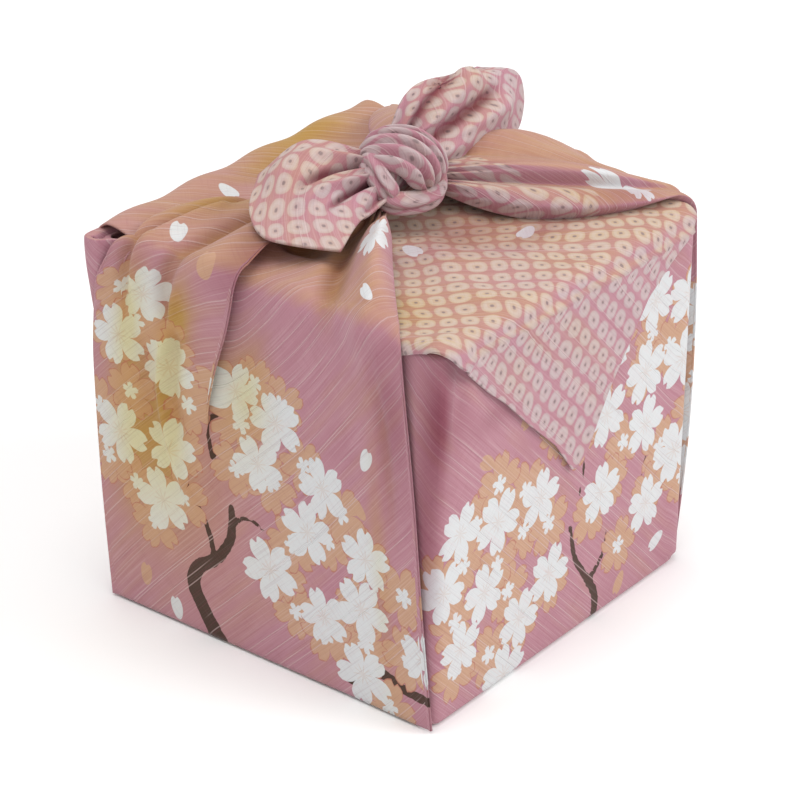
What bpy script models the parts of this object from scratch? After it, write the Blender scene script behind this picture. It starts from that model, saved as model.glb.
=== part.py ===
"""A square wrapping cloth tied round a gift box with a square knot on top.

The cloth is one piece, folded as the real wrap is made. Its front corner goes
up and lies on the lid. Its back corner comes over the top and hangs down the
front face in a point. Its left and right corners rise as two wings, gather at
the middle of the lid and are tied, with two free ends. The sheet is built as
its walls and base, and the folds that leave them are joined to it.

All sizes are in metres, +Z is up, and the origin is the middle of the base.
The front face looks along -Y, the left wing is on -X.
"""

from typing import NamedTuple

import bmesh
import bpy
import numpy as np

# Driving sizes
WIDTH = 0.169
DEPTH = 0.1644
HEIGHT = 0.162
CLOTH = 0.0015
SLIT = 0.0005
SEAT = 0.0003
WALL_ROUND = 0.004
BOX_ROUND = 0.007

# Where each layer's outer face lies, from the outside in
WING_X = WIDTH / 2
WALL_X = WING_X - CLOTH - SLIT
WALL_Y = DEPTH / 2
FLAP_Y = WALL_Y + SLIT + CLOTH
FLAP_Z = HEIGHT - CLOTH - SLIT
TUCK_Z = FLAP_Z - CLOTH - SLIT
LAYER_ROUND = WALL_ROUND + CLOTH + SLIT

# The front corner of the cloth, lying on the lid
TUCK_REACH = 0.045

# The back corner of the cloth, hanging down the front
FLAP_HALF = 0.079
FLAP_TIP_X = 0.0114
FLAP_TIP_Z = 0.0738
FLAP_TIP_HALF = 0.0015
FLAP_ROOT_Z = 0.008
ROOT_PROUD = 0.0007
ROOT_EASE = 0.006

# The two wings
WING_ROOT_Z = 0.005
WING_BEND = 0.008
WING_COLUMNS = 27
FACE_ROWS = 11
BEND_ROWS = 4
TOP_ROWS = 11
LEAST_DIP = -0.0003
CORNER_COLUMNS = 13
CORNER_ROWS = 6

# The knot and its free ends
KNOT_Z = HEIGHT + 0.0160
KNOT_RADII = (0.0175, 0.0130, 0.0140)
END_CLOTH = 0.0020
END_ROWS = 12
END_COLUMNS = 13
BAND_STEPS = 14
BAND_SIDES = 18
PLEAT_DEPTH = 0.32

ROSE = (0.52, 0.20, 0.27, 1.0)
PALE_WOOD = (0.62, 0.50, 0.34, 1.0)


class Thread(NamedTuple):
    """One guide thread of a wing: where it lies across the face, and how it runs on to the knot.

    levels are its y at the base, a third and two thirds of the way up, and the top edge.
    proud is how far it stands off the face there. bow moves the middle of the top run.
    """

    levels: tuple
    proud: tuple
    bow: tuple
    neck: tuple


class Crease(NamedTuple):
    """A soft ridge (height above 0) or trough along a line on a sheet."""

    line: tuple
    width: float
    height: float


class Strand(NamedTuple):
    """One guide thread of a free end: its root in the knot, middle and hem."""

    root: tuple
    middle: tuple
    hem: tuple


# Back edge first, front fold edge last. The fourth and fifth threads of the left
# wing swap places towards the top, where one lobe is folded over the other.
LEFT_THREADS = (
    Thread((0.080, 0.0835, 0.0845, 0.070), (0.0, 0.001, 0.0015, 0.002), (0.0, 0.013, 0.000), (-0.014, 0.012, 0.011)),
    Thread((0.062, 0.064, 0.064, 0.056), (0.0, 0.001, 0.0020, 0.003), (0.0, 0.011, 0.002), (-0.014, 0.010, 0.017)),
    Thread((0.042, 0.045, 0.044, 0.035), (0.0, 0.001, 0.0020, 0.003), (0.0, 0.008, 0.003), (-0.014, 0.006, 0.021)),
    Thread((0.024, 0.025, 0.024, 0.008), (0.0, 0.000, 0.0015, 0.005), (0.0, 0.003, 0.004), (-0.014, 0.001, 0.022)),
    Thread((0.015, 0.016, 0.018, 0.0105), (0.0, 0.000, 0.0003, 0.001), (0.0, 0.004, 0.001), (-0.014, 0.002, 0.018)),
    Thread((-0.010, -0.010, -0.010, -0.006), (0.0, 0.000, 0.0005, 0.001), (0.0, 0.002, 0.001), (-0.014, -0.001, 0.016)),
    Thread((-0.040, -0.038, -0.036, -0.030), (0.0, 0.000, 0.0005, 0.001), (0.0, 0.000, 0.001), (-0.014, -0.003, 0.013)),
    Thread((-0.066, -0.061, -0.057, -0.050), (0.0, 0.000, 0.0010, 0.004), (0.0, 0.000, 0.003), (-0.014, -0.005, 0.010)),
    Thread((-0.083, -0.078, -0.0715, -0.0667), (0.0, 0.0, 0.0, 0.0), (0.0, 0.001, 0.000), (-0.014, -0.005, 0.005)),
)
RIGHT_THREADS = (
    Thread((0.080, 0.086, 0.085, 0.072), (0.0, 0.001, 0.0010, 0.002), (0.0, 0.013, 0.002), (0.014, 0.012, 0.010)),
    Thread((0.058, 0.060, 0.058, 0.052), (0.0, 0.001, 0.0015, 0.003), (0.004, 0.010, 0.006), (0.014, 0.010, 0.016)),
    Thread((0.028, 0.028, 0.026, 0.022), (0.0, 0.001, 0.0015, 0.003), (0.004, 0.006, 0.008), (0.014, 0.006, 0.019)),
    Thread((-0.006, -0.006, -0.008, -0.012), (0.0, 0.001, 0.0015, 0.003), (0.004, 0.000, 0.007), (0.014, 0.001, 0.020)),
    Thread((-0.042, -0.042, -0.043, -0.046), (0.0, 0.001, 0.0020, 0.003), (0.002, -0.003, 0.006), (0.014, -0.003, 0.018)),
    Thread((-0.066, -0.068, -0.070, -0.074), (0.0, 0.003, 0.0035, 0.003), (-0.002, -0.006, 0.005), (0.014, -0.005, 0.015)),
    Thread((-0.080, -0.082, -0.082, -0.081), (0.0, 0.003, 0.0035, 0.001), (-0.010, -0.015, -0.004), (0.014, -0.010, 0.008)),
)

# Creases on the wings: x, y, z of points on or near the sheet
LEFT_CREASES = (
    Crease(((-0.020, 0.000, 0.176), (-0.047, -0.024, 0.170), (-0.073, -0.046, 0.165),
            (-0.0845, -0.057, 0.148), (-0.0845, -0.060, 0.120)), 0.0075, 0.0030),
    Crease(((-0.024, 0.008, 0.178), (-0.052, -0.014, 0.168), (-0.073, -0.029, 0.164),
            (-0.0845, -0.034, 0.150)), 0.0060, -0.0030),
    Crease(((-0.060, 0.054, 0.168), (-0.080, 0.057, 0.163), (-0.0845, 0.060, 0.150),
            (-0.0845, 0.060, 0.118)), 0.0050, 0.0035),
    Crease(((-0.040, 0.030, 0.172), (-0.080, 0.044, 0.164), (-0.0845, 0.045, 0.147),
            (-0.0845, 0.043, 0.120)), 0.0060, -0.0025),
    Crease(((-0.0845, 0.044, 0.135), (-0.0845, 0.048, 0.104), (-0.0845, 0.040, 0.073),
            (-0.0845, 0.030, 0.054)), 0.0045, 0.0015),
)
RIGHT_CREASES = (
    Crease(((0.020, -0.004, 0.177), (0.042, -0.028, 0.173), (0.080, -0.072, 0.164),
            (0.0845, -0.078, 0.140), (0.0845, -0.079, 0.080)), 0.0060, 0.0030),
    Crease(((0.030, 0.012, 0.174), (0.060, 0.026, 0.170), (0.0845, 0.034, 0.155),
            (0.0845, 0.036, 0.110)), 0.0070, 0.0025),
    Crease(((0.040, 0.000, 0.172), (0.070, -0.020, 0.168), (0.0845, -0.026, 0.150),
            (0.0845, -0.024, 0.090)), 0.0070, 0.0022),
)

# The slack corner at the back left: x and y round the corner at three heights,
# and how much lower each place on a level lies than its height
CORNER_HEIGHTS = (0.128, 0.146, 0.1625)
CORNER_DROPS = (0.0075, 0.0020, 0.0000, 0.0015, 0.0075)
CORNER_LEVELS = (
    ((-0.074, 0.0834), (-0.080, 0.0838), (-0.0843, 0.0828), (-0.0846, 0.077), (-0.0835, 0.072)),
    ((-0.072, 0.0834), (-0.081, 0.0850), (-0.0866, 0.0836), (-0.0868, 0.077), (-0.0835, 0.069)),
    ((-0.070, 0.0834), (-0.081, 0.0866), (-0.0888, 0.0850), (-0.0892, 0.077), (-0.0835, 0.067)),
)

# Free ends, measured from the top edges' level: low front strand first
LEFT_STRANDS = (
    Strand((-0.008, -0.007, 0.013), (-0.036, -0.009, 0.011), (-0.060, -0.018, 0.010)),
    Strand((-0.010, -0.002, 0.020), (-0.042, 0.001, 0.017), (-0.070, -0.002, 0.011)),
    Strand((-0.010, 0.003, 0.024), (-0.046, 0.011, 0.021), (-0.076, 0.011, 0.012)),
    Strand((-0.008, 0.008, 0.027), (-0.039, 0.024, 0.027), (-0.068, 0.024, 0.018)),
    Strand((-0.004, 0.010, 0.029), (-0.026, 0.031, 0.034), (-0.052, 0.031, 0.026)),
)
RIGHT_STRANDS = (
    Strand((0.009, -0.008, 0.015), (0.036, -0.010, 0.013), (0.060, -0.007, 0.012)),
    Strand((0.011, -0.004, 0.021), (0.044, -0.008, 0.023), (0.077, -0.001, 0.013)),
    Strand((0.009, 0.001, 0.026), (0.045, -0.004, 0.034), (0.082, 0.001, 0.024)),
    Strand((0.005, 0.005, 0.028), (0.036, 0.003, 0.044), (0.078, 0.003, 0.035)),
    Strand((0.001, 0.008, 0.029), (0.020, 0.010, 0.044), (0.058, 0.006, 0.042)),
)
LEFT_END_CREASES = (
    Crease(((-0.026, 0.006, 0.186), (-0.042, 0.010, 0.184), (-0.060, 0.012, 0.179)), 0.0040, -0.0024),
    Crease(((-0.026, -0.002, 0.180), (-0.042, -0.001, 0.178), (-0.062, -0.004, 0.174)), 0.0045, 0.0015),
)
RIGHT_END_CREASES = (
    Crease(((0.026, -0.006, 0.186), (0.045, -0.008, 0.190), (0.074, -0.001, 0.187)), 0.0045, 0.0025),
    Crease(((0.024, 0.000, 0.192), (0.038, -0.002, 0.200), (0.060, 0.001, 0.202)), 0.0040, -0.0020),
)

# Bands of the knot: points along the middle of each, above the top edges' level
LOW_BAND = ((-0.018, 0.000, 0.012), (-0.014, -0.011, 0.008), (0.000, -0.0165, 0.006),
            (0.012, -0.0135, 0.008), (0.0175, -0.006, 0.016), (0.014, 0.003, 0.024))
TOP_BAND = ((-0.007, 0.012, 0.018), (-0.007, 0.005, 0.027), (-0.003, -0.005, 0.0285),
            (0.001, -0.0120, 0.022), (0.003, -0.0135, 0.012))
LOW_BAND_SIZE = (0.0050, 0.0044)
TOP_BAND_SIZE = (0.0140, 0.0052)
LOW_BAND_PLEATS = 0
TOP_BAND_PLEATS = 4


def clear_scene():
    """Remove every object, so that the file can be run again."""
    for thing in list(bpy.data.objects):
        bpy.data.objects.remove(thing, do_unlink=True)


def collection(name):
    """Return a collection of this name in the scene."""
    found = bpy.data.collections.get(name) or bpy.data.collections.new(name)
    if name not in bpy.context.scene.collection.children:
        bpy.context.scene.collection.children.link(found)
    return found


def finish(name, colour, roughness):
    """Return a plain material of one colour."""
    material = bpy.data.materials.new(name)
    material.use_nodes = True
    shader = material.node_tree.nodes["Principled BSDF"]
    shader.inputs["Base Color"].default_value = colour
    shader.inputs["Roughness"].default_value = roughness
    shader.inputs["Metallic"].default_value = 0.0
    return material


def spline(points, count):
    """Points on a smooth curve through the given ones, evenly spaced in its parameter."""
    points = np.asarray(points, float)
    last = len(points) - 1
    padded = np.concatenate([2 * points[:1] - points[1:2], points, 2 * points[-1:] - points[-2:-1]])
    place = np.linspace(0.0, last, count)
    index = np.minimum(place.astype(int), last - 1)
    step = (place - index).reshape((-1,) + (1,) * (points.ndim - 1))
    before, here, after, beyond = (padded[index + k] for k in range(4))
    return here + 0.5 * step * (
        after - before
        + step * (2 * before - 5 * here + 4 * after - beyond + step * (3 * (here - after) + beyond - before))
    )


def sheet_normals(points, outward):
    """Unit normals of a grid of points, on the side that the outward hint names."""
    along = np.gradient(points, axis=0)
    across = np.gradient(points, axis=1)
    normal = np.cross(along, across)
    normal /= np.linalg.norm(normal, axis=2, keepdims=True) + 1e-12
    return normal * np.sign(np.mean(normal @ np.asarray(outward, float)))


def distance_to_line(points, line):
    """Distance from each point to a line of straight runs, and how far along it is nearest, 0 to 1."""
    line = np.asarray(line, float)
    best = np.full(points.shape[:2], np.inf)
    place = np.zeros(points.shape[:2])
    for number in range(len(line) - 1):
        run = line[number + 1] - line[number]
        share = np.clip((points - line[number]) @ run / (run @ run), 0.0, 1.0)
        gap = np.linalg.norm(points - line[number] - share[..., None] * run, axis=2)
        nearer = gap < best
        best = np.where(nearer, gap, best)
        place = np.where(nearer, (number + share) / (len(line) - 1), place)
    return best, place


def creased(points, creases, outward):
    """Move a grid along its normals by each crease's rounded profile, fading towards the crease's last point."""
    lift = np.zeros(points.shape[:2])
    for crease in creases:
        gap, place = distance_to_line(points, crease.line)
        fade = 1.0 - np.clip((place - 0.6) / 0.4, 0.0, 1.0) ** 2
        lift += crease.height * fade * np.exp(-((gap / crease.width) ** 2))
    lift = np.maximum(lift, LEAST_DIP + np.minimum(0.0, FLAP_Z + 2 * CLOTH - points[..., 2]))
    return points + sheet_normals(points, outward) * lift[..., None]


def add_sheet(name, points, outward, thickness, group):
    """Make a sheet of cloth from a grid of points on its outer face."""
    rows, columns = points.shape[:2]
    corner = np.arange(rows * columns).reshape(rows, columns)
    faces = np.stack([corner[:-1, :-1], corner[1:, :-1], corner[1:, 1:], corner[:-1, 1:]], axis=-1).reshape(-1, 4)
    normal = np.cross(np.gradient(points, axis=0), np.gradient(points, axis=1)) @ np.asarray(outward, float)
    if normal.mean() < 0:
        faces = faces[:, ::-1]
    mesh = bpy.data.meshes.new(name)
    mesh.from_pydata(points.reshape(-1, 3).tolist(), [], faces.tolist())
    thing = bpy.data.objects.new(name, mesh)
    group.objects.link(thing)
    wall = thing.modifiers.new("Thickness", "SOLIDIFY")
    wall.thickness = thickness
    wall.offset = -1.0
    return thing


def walls_and_base(group):
    """The base, the four walls and the tucked front corner, as one sheet."""
    bm = bmesh.new()
    bmesh.ops.create_cube(bm, size=1.0)
    for vert in bm.verts:
        vert.co.x *= 2 * WALL_X
        vert.co.y *= 2 * WALL_Y
        vert.co.z = (vert.co.z + 0.5) * TUCK_Z
    bmesh.ops.bevel(bm, geom=bm.edges[:], offset=WALL_ROUND, segments=3, profile=0.5, affect="EDGES")
    lid = max(bm.faces, key=lambda face: face.calc_center_median().z)
    front = sorted(lid.verts, key=lambda vert: (vert.co.y, vert.co.x))[:2]
    bmesh.ops.delete(bm, geom=[lid], context="FACES_ONLY")
    tip = bm.verts.new((0.0, TUCK_REACH, TUCK_Z))
    bm.faces.new((front[0], front[1], tip))
    mesh = bpy.data.meshes.new("furoshiki")
    bm.to_mesh(mesh)
    bm.free()
    cloth = bpy.data.objects.new("furoshiki", mesh)
    group.objects.link(cloth)
    wall = cloth.modifiers.new("Thickness", "SOLIDIFY")
    wall.thickness = CLOTH
    wall.offset = -1.0
    wall.use_even_offset = True
    return cloth


def flap_profile():
    """The back corner's middle line: up the back, over the top, down the front, as y and z."""
    turn = np.linspace(0.0, np.pi / 2, 5)
    centre_y = FLAP_Y - LAYER_ROUND
    centre_z = FLAP_Z - LAYER_ROUND
    rise_z = np.linspace(FLAP_ROOT_Z, centre_z, 5)[:-1]
    rise_y = FLAP_Y - (SLIT + CLOTH - ROOT_PROUD) * np.exp((FLAP_ROOT_Z - rise_z) / ROOT_EASE)
    top_y = np.linspace(centre_y, -centre_y, 8)[1:-1]
    fall_z = np.linspace(centre_z, FLAP_TIP_Z, 9)[1:]
    run_y = np.concatenate([rise_y, centre_y + LAYER_ROUND * np.cos(turn), top_y,
                            -centre_y - LAYER_ROUND * np.sin(turn), np.full(len(fall_z), -FLAP_Y)])
    run_z = np.concatenate([rise_z, centre_z + LAYER_ROUND * np.sin(turn), np.full(len(top_y), FLAP_Z),
                            centre_z + LAYER_ROUND * np.cos(turn), fall_z])
    return run_y, run_z


def back_corner(group):
    """The flap: full width over the top, then narrowing to its point on the front."""
    run_y, run_z = flap_profile()
    on_front = (run_y < -FLAP_Y + 1e-6) & (run_z < FLAP_Z - LAYER_ROUND + 1e-6)
    hang = np.where(on_front, (FLAP_Z - LAYER_ROUND - run_z) / (FLAP_Z - LAYER_ROUND - FLAP_TIP_Z), 0.0)
    left = -FLAP_HALF + hang * (FLAP_TIP_X - FLAP_TIP_HALF + FLAP_HALF)
    right = FLAP_HALF + hang * (FLAP_TIP_X + FLAP_TIP_HALF - FLAP_HALF)
    share = np.linspace(0.0, 1.0, 11)
    across = left[:, None] + (right - left)[:, None] * share
    points = np.stack([across, np.repeat(run_y[:, None], 11, 1), np.repeat(run_z[:, None], 11, 1)], axis=2)
    return add_sheet("flap", points, (0, 0, 1), CLOTH, group)


def thread_points(thread, side):
    """A wing's guide thread: up the face, round the top edge, then taut to the knot."""
    proud = thread.proud[-1]
    edge = np.array([side * (WING_X + proud), thread.levels[-1], HEIGHT + proud])
    neck = np.array(thread.neck) + (0.0, 0.0, HEIGHT)
    run = (neck - edge) / np.linalg.norm(neck - edge)
    rise = np.linspace(WING_ROOT_Z, HEIGHT - WING_BEND, FACE_ROWS)
    fine = 20 * FACE_ROWS
    height = np.linspace(0.0, HEIGHT, fine)
    level = np.interp(rise, height, spline(thread.levels, fine))
    out = WING_X + np.interp(rise, height, spline(thread.proud, fine))
    out -= (SLIT + CLOTH - ROOT_PROUD) * np.exp((WING_ROOT_Z - rise) / ROOT_EASE)
    face = np.stack([side * out, level, rise], axis=1)
    turn = np.linspace(0.0, 1.0, BEND_ROWS + 2)[1:-1, None]
    start = edge + WING_BEND * run
    bend = (1 - turn) ** 2 * face[-1] + 2 * turn * (1 - turn) * edge + turn ** 2 * start
    place = np.linspace(0.0, 1.0, TOP_ROWS)[:, None]
    top = start + (neck - start) * place + 4 * place * (1 - place) * np.array(thread.bow)
    return np.concatenate([face, bend, top])


def wing(name, threads, creases, side, group):
    """A wing of the cloth: a loft between its guide threads, with its creases."""
    guides = np.stack([thread_points(thread, side) for thread in threads])
    points = np.swapaxes(spline(guides, WING_COLUMNS), 0, 1)
    outward = (side, 0.0, 1.0)
    return add_sheet(name, creased(points, creases, outward), outward, CLOTH, group)


def slack_corner(group):
    """The back cloth's loose loop round the back left corner, open at its top rim."""
    rings = []
    for level, height in zip(CORNER_LEVELS, CORNER_HEIGHTS):
        ring = [(x, y, height - drop) for (x, y), drop in zip(level, CORNER_DROPS)]
        rings.append(spline(ring, CORNER_COLUMNS))
    return add_sheet("slack_corner", spline(np.stack(rings), CORNER_ROWS), (-1.0, 1.0, 0.0), CLOTH, group)


def free_end(name, strands, creases, side, group):
    """A free end of the knot: a leaf-shaped loft between its strands."""
    lift = np.array((0.0, 0.0, HEIGHT))
    guides = np.stack([spline([np.array(point) + lift for point in strand], END_ROWS) for strand in strands])
    points = np.swapaxes(spline(guides, END_COLUMNS), 0, 1)
    outward = (0.2 * side, -1.0, 1.0)
    return add_sheet(name, creased(points, creases, outward), outward, END_CLOTH, group)


def knot_band(name, line, size, pleats, group):
    """A rounded band along a curve: oval sections that shrink to a point at both ends.

    pleats is how many grooves run along its outer side.
    """
    path = spline(line, BAND_STEPS) + (0.0, 0.0, HEIGHT)
    middle = np.array((0.0, 0.0, KNOT_Z))
    tangent = np.gradient(path, axis=0)
    tangent /= np.linalg.norm(tangent, axis=1, keepdims=True)
    outward = path - middle
    outward -= (outward * tangent).sum(axis=1, keepdims=True) * tangent
    outward /= np.linalg.norm(outward, axis=1, keepdims=True)
    sideways = np.cross(tangent, outward)
    taper = np.sqrt(np.clip(1.0 - np.linspace(-1.0, 1.0, BAND_STEPS) ** 6, 0.0, 1.0))
    angle = np.linspace(0.0, 2 * np.pi, BAND_SIDES, endpoint=False)
    groove = 1.0 - PLEAT_DEPTH * np.sin(pleats * np.pi / 2 * (1.0 + np.cos(angle))) ** 2 * (np.sin(angle) > 0)
    ring = path[:, None] + taper[:, None, None] * (
        size[0] * np.cos(angle)[None, :, None] * sideways[:, None]
        + size[1] * (groove * np.sin(angle))[None, :, None] * outward[:, None]
    )
    body = ring[1:-1]
    rows = len(body)
    verts = np.concatenate([body.reshape(-1, 3), path[:1], path[-1:]])
    corner = np.arange(rows * BAND_SIDES).reshape(rows, BAND_SIDES)
    turned = np.roll(corner, -1, axis=1)
    faces = np.stack([corner[:-1], turned[:-1], turned[1:], corner[1:]], axis=-1).reshape(-1, 4).tolist()
    faces += [(b, a, rows * BAND_SIDES) for a, b in zip(corner[0], turned[0])]
    faces += [(a, b, rows * BAND_SIDES + 1) for a, b in zip(corner[-1], turned[-1])]
    mesh = bpy.data.meshes.new(name)
    mesh.from_pydata(verts.tolist(), [], faces)
    bm = bmesh.new()
    bm.from_mesh(mesh)
    bmesh.ops.recalc_face_normals(bm, faces=bm.faces)
    bm.to_mesh(mesh)
    bm.free()
    thing = bpy.data.objects.new(name, mesh)
    group.objects.link(thing)
    return thing


def knot_middle(group):
    """The hidden middle of the knot, where the four gathered strands cross."""
    bm = bmesh.new()
    bmesh.ops.create_uvsphere(bm, u_segments=20, v_segments=12, radius=1.0)
    for vert in bm.verts:
        x, y, z = vert.co
        vert.co = (x * KNOT_RADII[0], y * KNOT_RADII[1], KNOT_Z + z * KNOT_RADII[2])
    mesh = bpy.data.meshes.new("knot_middle")
    bm.to_mesh(mesh)
    bm.free()
    thing = bpy.data.objects.new("knot_middle", mesh)
    group.objects.link(thing)
    return thing


def join_folds(cloth, folds):
    """Join every fold to the walls and base, and hide the pieces that were joined."""
    for fold in folds:
        fold.display_type = "WIRE"
        fold.hide_render = True
        union = cloth.modifiers.new("Join " + fold.name, "BOOLEAN")
        union.operation = "UNION"
        union.solver = "EXACT"
        union.use_self = True
        union.object = fold


def gift_box(group):
    """The plain box that the cloth is wrapped round, with rounded edges."""
    half_x = WALL_X - CLOTH - SEAT
    half_y = WALL_Y - CLOTH - SEAT
    low = CLOTH + SEAT
    high = TUCK_Z - CLOTH - SEAT
    bm = bmesh.new()
    bmesh.ops.create_cube(bm, size=1.0)
    for vert in bm.verts:
        vert.co = (vert.co.x * 2 * half_x, vert.co.y * 2 * half_y, low + (vert.co.z + 0.5) * (high - low))
    mesh = bpy.data.meshes.new("gift_box")
    bm.to_mesh(mesh)
    bm.free()
    box = bpy.data.objects.new("gift_box", mesh)
    group.objects.link(box)
    edges = box.modifiers.new("Soft edges", "BEVEL")
    edges.width = BOX_ROUND
    edges.segments = 3
    return box


def main():
    """Build the wrap and its box."""
    clear_scene()
    wrap = collection("wrapped_gift_box")
    hidden = collection("folds")
    cloth = walls_and_base(wrap)
    folds = [
        back_corner(hidden),
        wing("left_wing", LEFT_THREADS, LEFT_CREASES, -1, hidden),
        wing("right_wing", RIGHT_THREADS, RIGHT_CREASES, 1, hidden),
        slack_corner(hidden),
        knot_middle(hidden),
        knot_band("low_band", LOW_BAND, LOW_BAND_SIZE, LOW_BAND_PLEATS, hidden),
        knot_band("top_band", TOP_BAND, TOP_BAND_SIZE, TOP_BAND_PLEATS, hidden),
        free_end("left_end", LEFT_STRANDS, LEFT_END_CREASES, -1, hidden),
        free_end("right_end", RIGHT_STRANDS, RIGHT_END_CREASES, 1, hidden),
    ]
    join_folds(cloth, folds)
    cloth.data.materials.append(finish("rose cotton", ROSE, 0.9))
    box = gift_box(wrap)
    box.data.materials.append(finish("pale wood", PALE_WOOD, 0.8))


main()
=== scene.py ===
"""Looks of a gift box wrapped in a square printed cloth.

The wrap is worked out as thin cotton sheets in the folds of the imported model:
the walls with the base, the back corner that comes over the lid and hangs
down the front, two wings that rise at the sides and gather at the middle of
the lid, the slack loop at the back left corner, and the tied knot with its
two free ends.

Sizes are metres, +Z is up, the origin is the middle of the base, the front
looks along -Y and the left wing is on -X. Every sheet carries its place on
the flat cloth, in metres from the cloth's middle, as its UV map. The print is
laid out on that flat cloth.
"""

import logging
import math
from dataclasses import dataclass, field
from enum import Enum

import bpy
import numpy as np
from mathutils import Matrix, Vector


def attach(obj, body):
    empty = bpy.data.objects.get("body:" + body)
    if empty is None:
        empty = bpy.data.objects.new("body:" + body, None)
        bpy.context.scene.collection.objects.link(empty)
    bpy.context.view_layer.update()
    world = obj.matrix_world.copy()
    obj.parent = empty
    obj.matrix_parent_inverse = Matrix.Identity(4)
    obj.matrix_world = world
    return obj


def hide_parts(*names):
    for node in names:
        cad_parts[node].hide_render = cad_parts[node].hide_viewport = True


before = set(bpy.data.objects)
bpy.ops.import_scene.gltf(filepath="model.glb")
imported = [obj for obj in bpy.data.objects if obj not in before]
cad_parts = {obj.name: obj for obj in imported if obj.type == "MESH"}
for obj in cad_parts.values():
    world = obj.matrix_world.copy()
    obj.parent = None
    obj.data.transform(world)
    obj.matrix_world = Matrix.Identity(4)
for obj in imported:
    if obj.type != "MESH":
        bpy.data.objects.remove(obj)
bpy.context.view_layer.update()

LOG = logging.getLogger("wrap")
BODY = "root"
CLOTH_NODE = "furoshiki"
BOX_NODE = "gift_box"
UV_NAME = "flat_cloth"
# The tone attribute holds painted top light, the gold tint with painted crease shade, and painted shade.
TONE_NAME = "tone"
BARK_NAME = "bark"

# The wrapped box
WIDTH = 0.169
DEPTH = 0.1644
HEIGHT = 0.162
SLIT = 0.0005
LAYER = 0.0015
COTTON = 0.0008

Array = np.ndarray
Point = tuple[float, float, float]


class Side(Enum):
    """Which way a wing or a free end lies."""

    LEFT = -1
    RIGHT = 1


class Motif(Enum):
    """The printed layers, from the lowest to the highest, by attribute name."""

    PEACH_LOW = "peach_low"
    PEACH_MID = "peach_mid"
    PEACH_HIGH = "peach_high"
    WHITE_LOW = "white_low"
    WHITE_HIGH = "white_high"
    PETAL_PEACH = "petal_peach"
    PETAL_WHITE = "petal_white"


PEACHES = (Motif.PEACH_LOW, Motif.PEACH_MID, Motif.PEACH_HIGH)
WHITES = (Motif.WHITE_LOW, Motif.WHITE_HIGH)


def spline(points: Array, count: int) -> Array:
    """Evaluate a Catmull-Rom curve through points along the first axis.

    Args:
        points: the points, or whole rows of points, that the curve passes.
        count: how many places to return, evenly spaced in the parameter.

    Returns:
        The places, with the shape of points but for the first axis.
    """
    points = np.asarray(points, float)
    last = len(points) - 1
    padded = np.concatenate([2 * points[:1] - points[1:2], points, 2 * points[-1:] - points[-2:-1]])
    place = np.linspace(0.0, last, count)
    index = np.minimum(place.astype(int), last - 1)
    step = (place - index).reshape((-1,) + (1,) * (points.ndim - 1))
    before, here, after, beyond = (padded[index + k] for k in range(4))
    return here + 0.5 * step * (
        after - before
        + step * (2 * before - 5 * here + 4 * after - beyond + step * (3 * (here - after) + beyond - before))
    )


def smooth_step(low: float, high: float, value: Array) -> Array:
    """Ease from 0 at low to 1 at high: 3 t squared less 2 t cubed."""
    share = np.clip((value - low) / (high - low), 0.0, 1.0)
    return share * share * (3.0 - 2.0 * share)


def grid_normals(points: Array, outward: Point) -> Array:
    """Find unit normals of a grid, the cross product of its two slopes.

    Args:
        points: rows by columns by 3.
        outward: a rough direction of the outer side.

    Returns:
        Normals on the outer side, rows by columns by 3.
    """
    normal = np.cross(np.gradient(points, axis=0), np.gradient(points, axis=1))
    normal /= np.linalg.norm(normal, axis=2, keepdims=True) + 1e-12
    return normal * np.sign(np.mean(normal @ np.asarray(outward, float)))


def lengths_along(points: Array, axis: int) -> Array:
    """Add up the distance from the first row or column of a grid to each point."""
    steps = np.linalg.norm(np.diff(points, axis=axis), axis=2)
    pad = [(0, 0), (0, 0)]
    pad[axis] = (1, 0)
    return np.cumsum(np.pad(steps, pad), axis=axis)


@dataclass(frozen=True)
class Crease:
    """A soft ridge (height above 0) or trough along a line on or near a sheet.

    The lift at distance d from the line is height times e to the minus (d / width) squared.
    It fades over the last part of the line, from fade_from of its length on.
    """

    line: tuple[Point, ...]
    width: float
    height: float
    fade_from: float = 0.6

    def lift(self, points: Array, normal: Array) -> Array:
        """Work out how far each point of a grid moves along its normal.

        Distances from the line are measured along the sheet.

        Args:
            points: rows by columns by 3.
            normal: the sheet's unit normals, of the same shape.

        Returns:
            Lift in metres, rows by columns.
        """
        line = spline(np.asarray(self.line), 6 * len(self.line))
        best = np.full(points.shape[:2], np.inf)
        place = np.zeros(points.shape[:2])
        runs = len(line) - 1
        for number in range(runs):
            run = line[number + 1] - line[number]
            share = np.clip((points - line[number]) @ run / (run @ run + 1e-12), 0.0, 1.0)
            offset = points - line[number] - share[..., None] * run
            offset = offset - (offset * normal).sum(axis=2, keepdims=True) * normal
            gap = np.linalg.norm(offset, axis=2)
            nearer = gap < best
            best = np.where(nearer, gap, best)
            place = np.where(nearer, (number + share) / runs, place)
        fade = 1.0 - smooth_step(self.fade_from, 1.0 + 1e-6, place) if self.fade_from < 1.0 else 1.0
        return self.height * fade * np.exp(-((best / self.width) ** 2))


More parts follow.
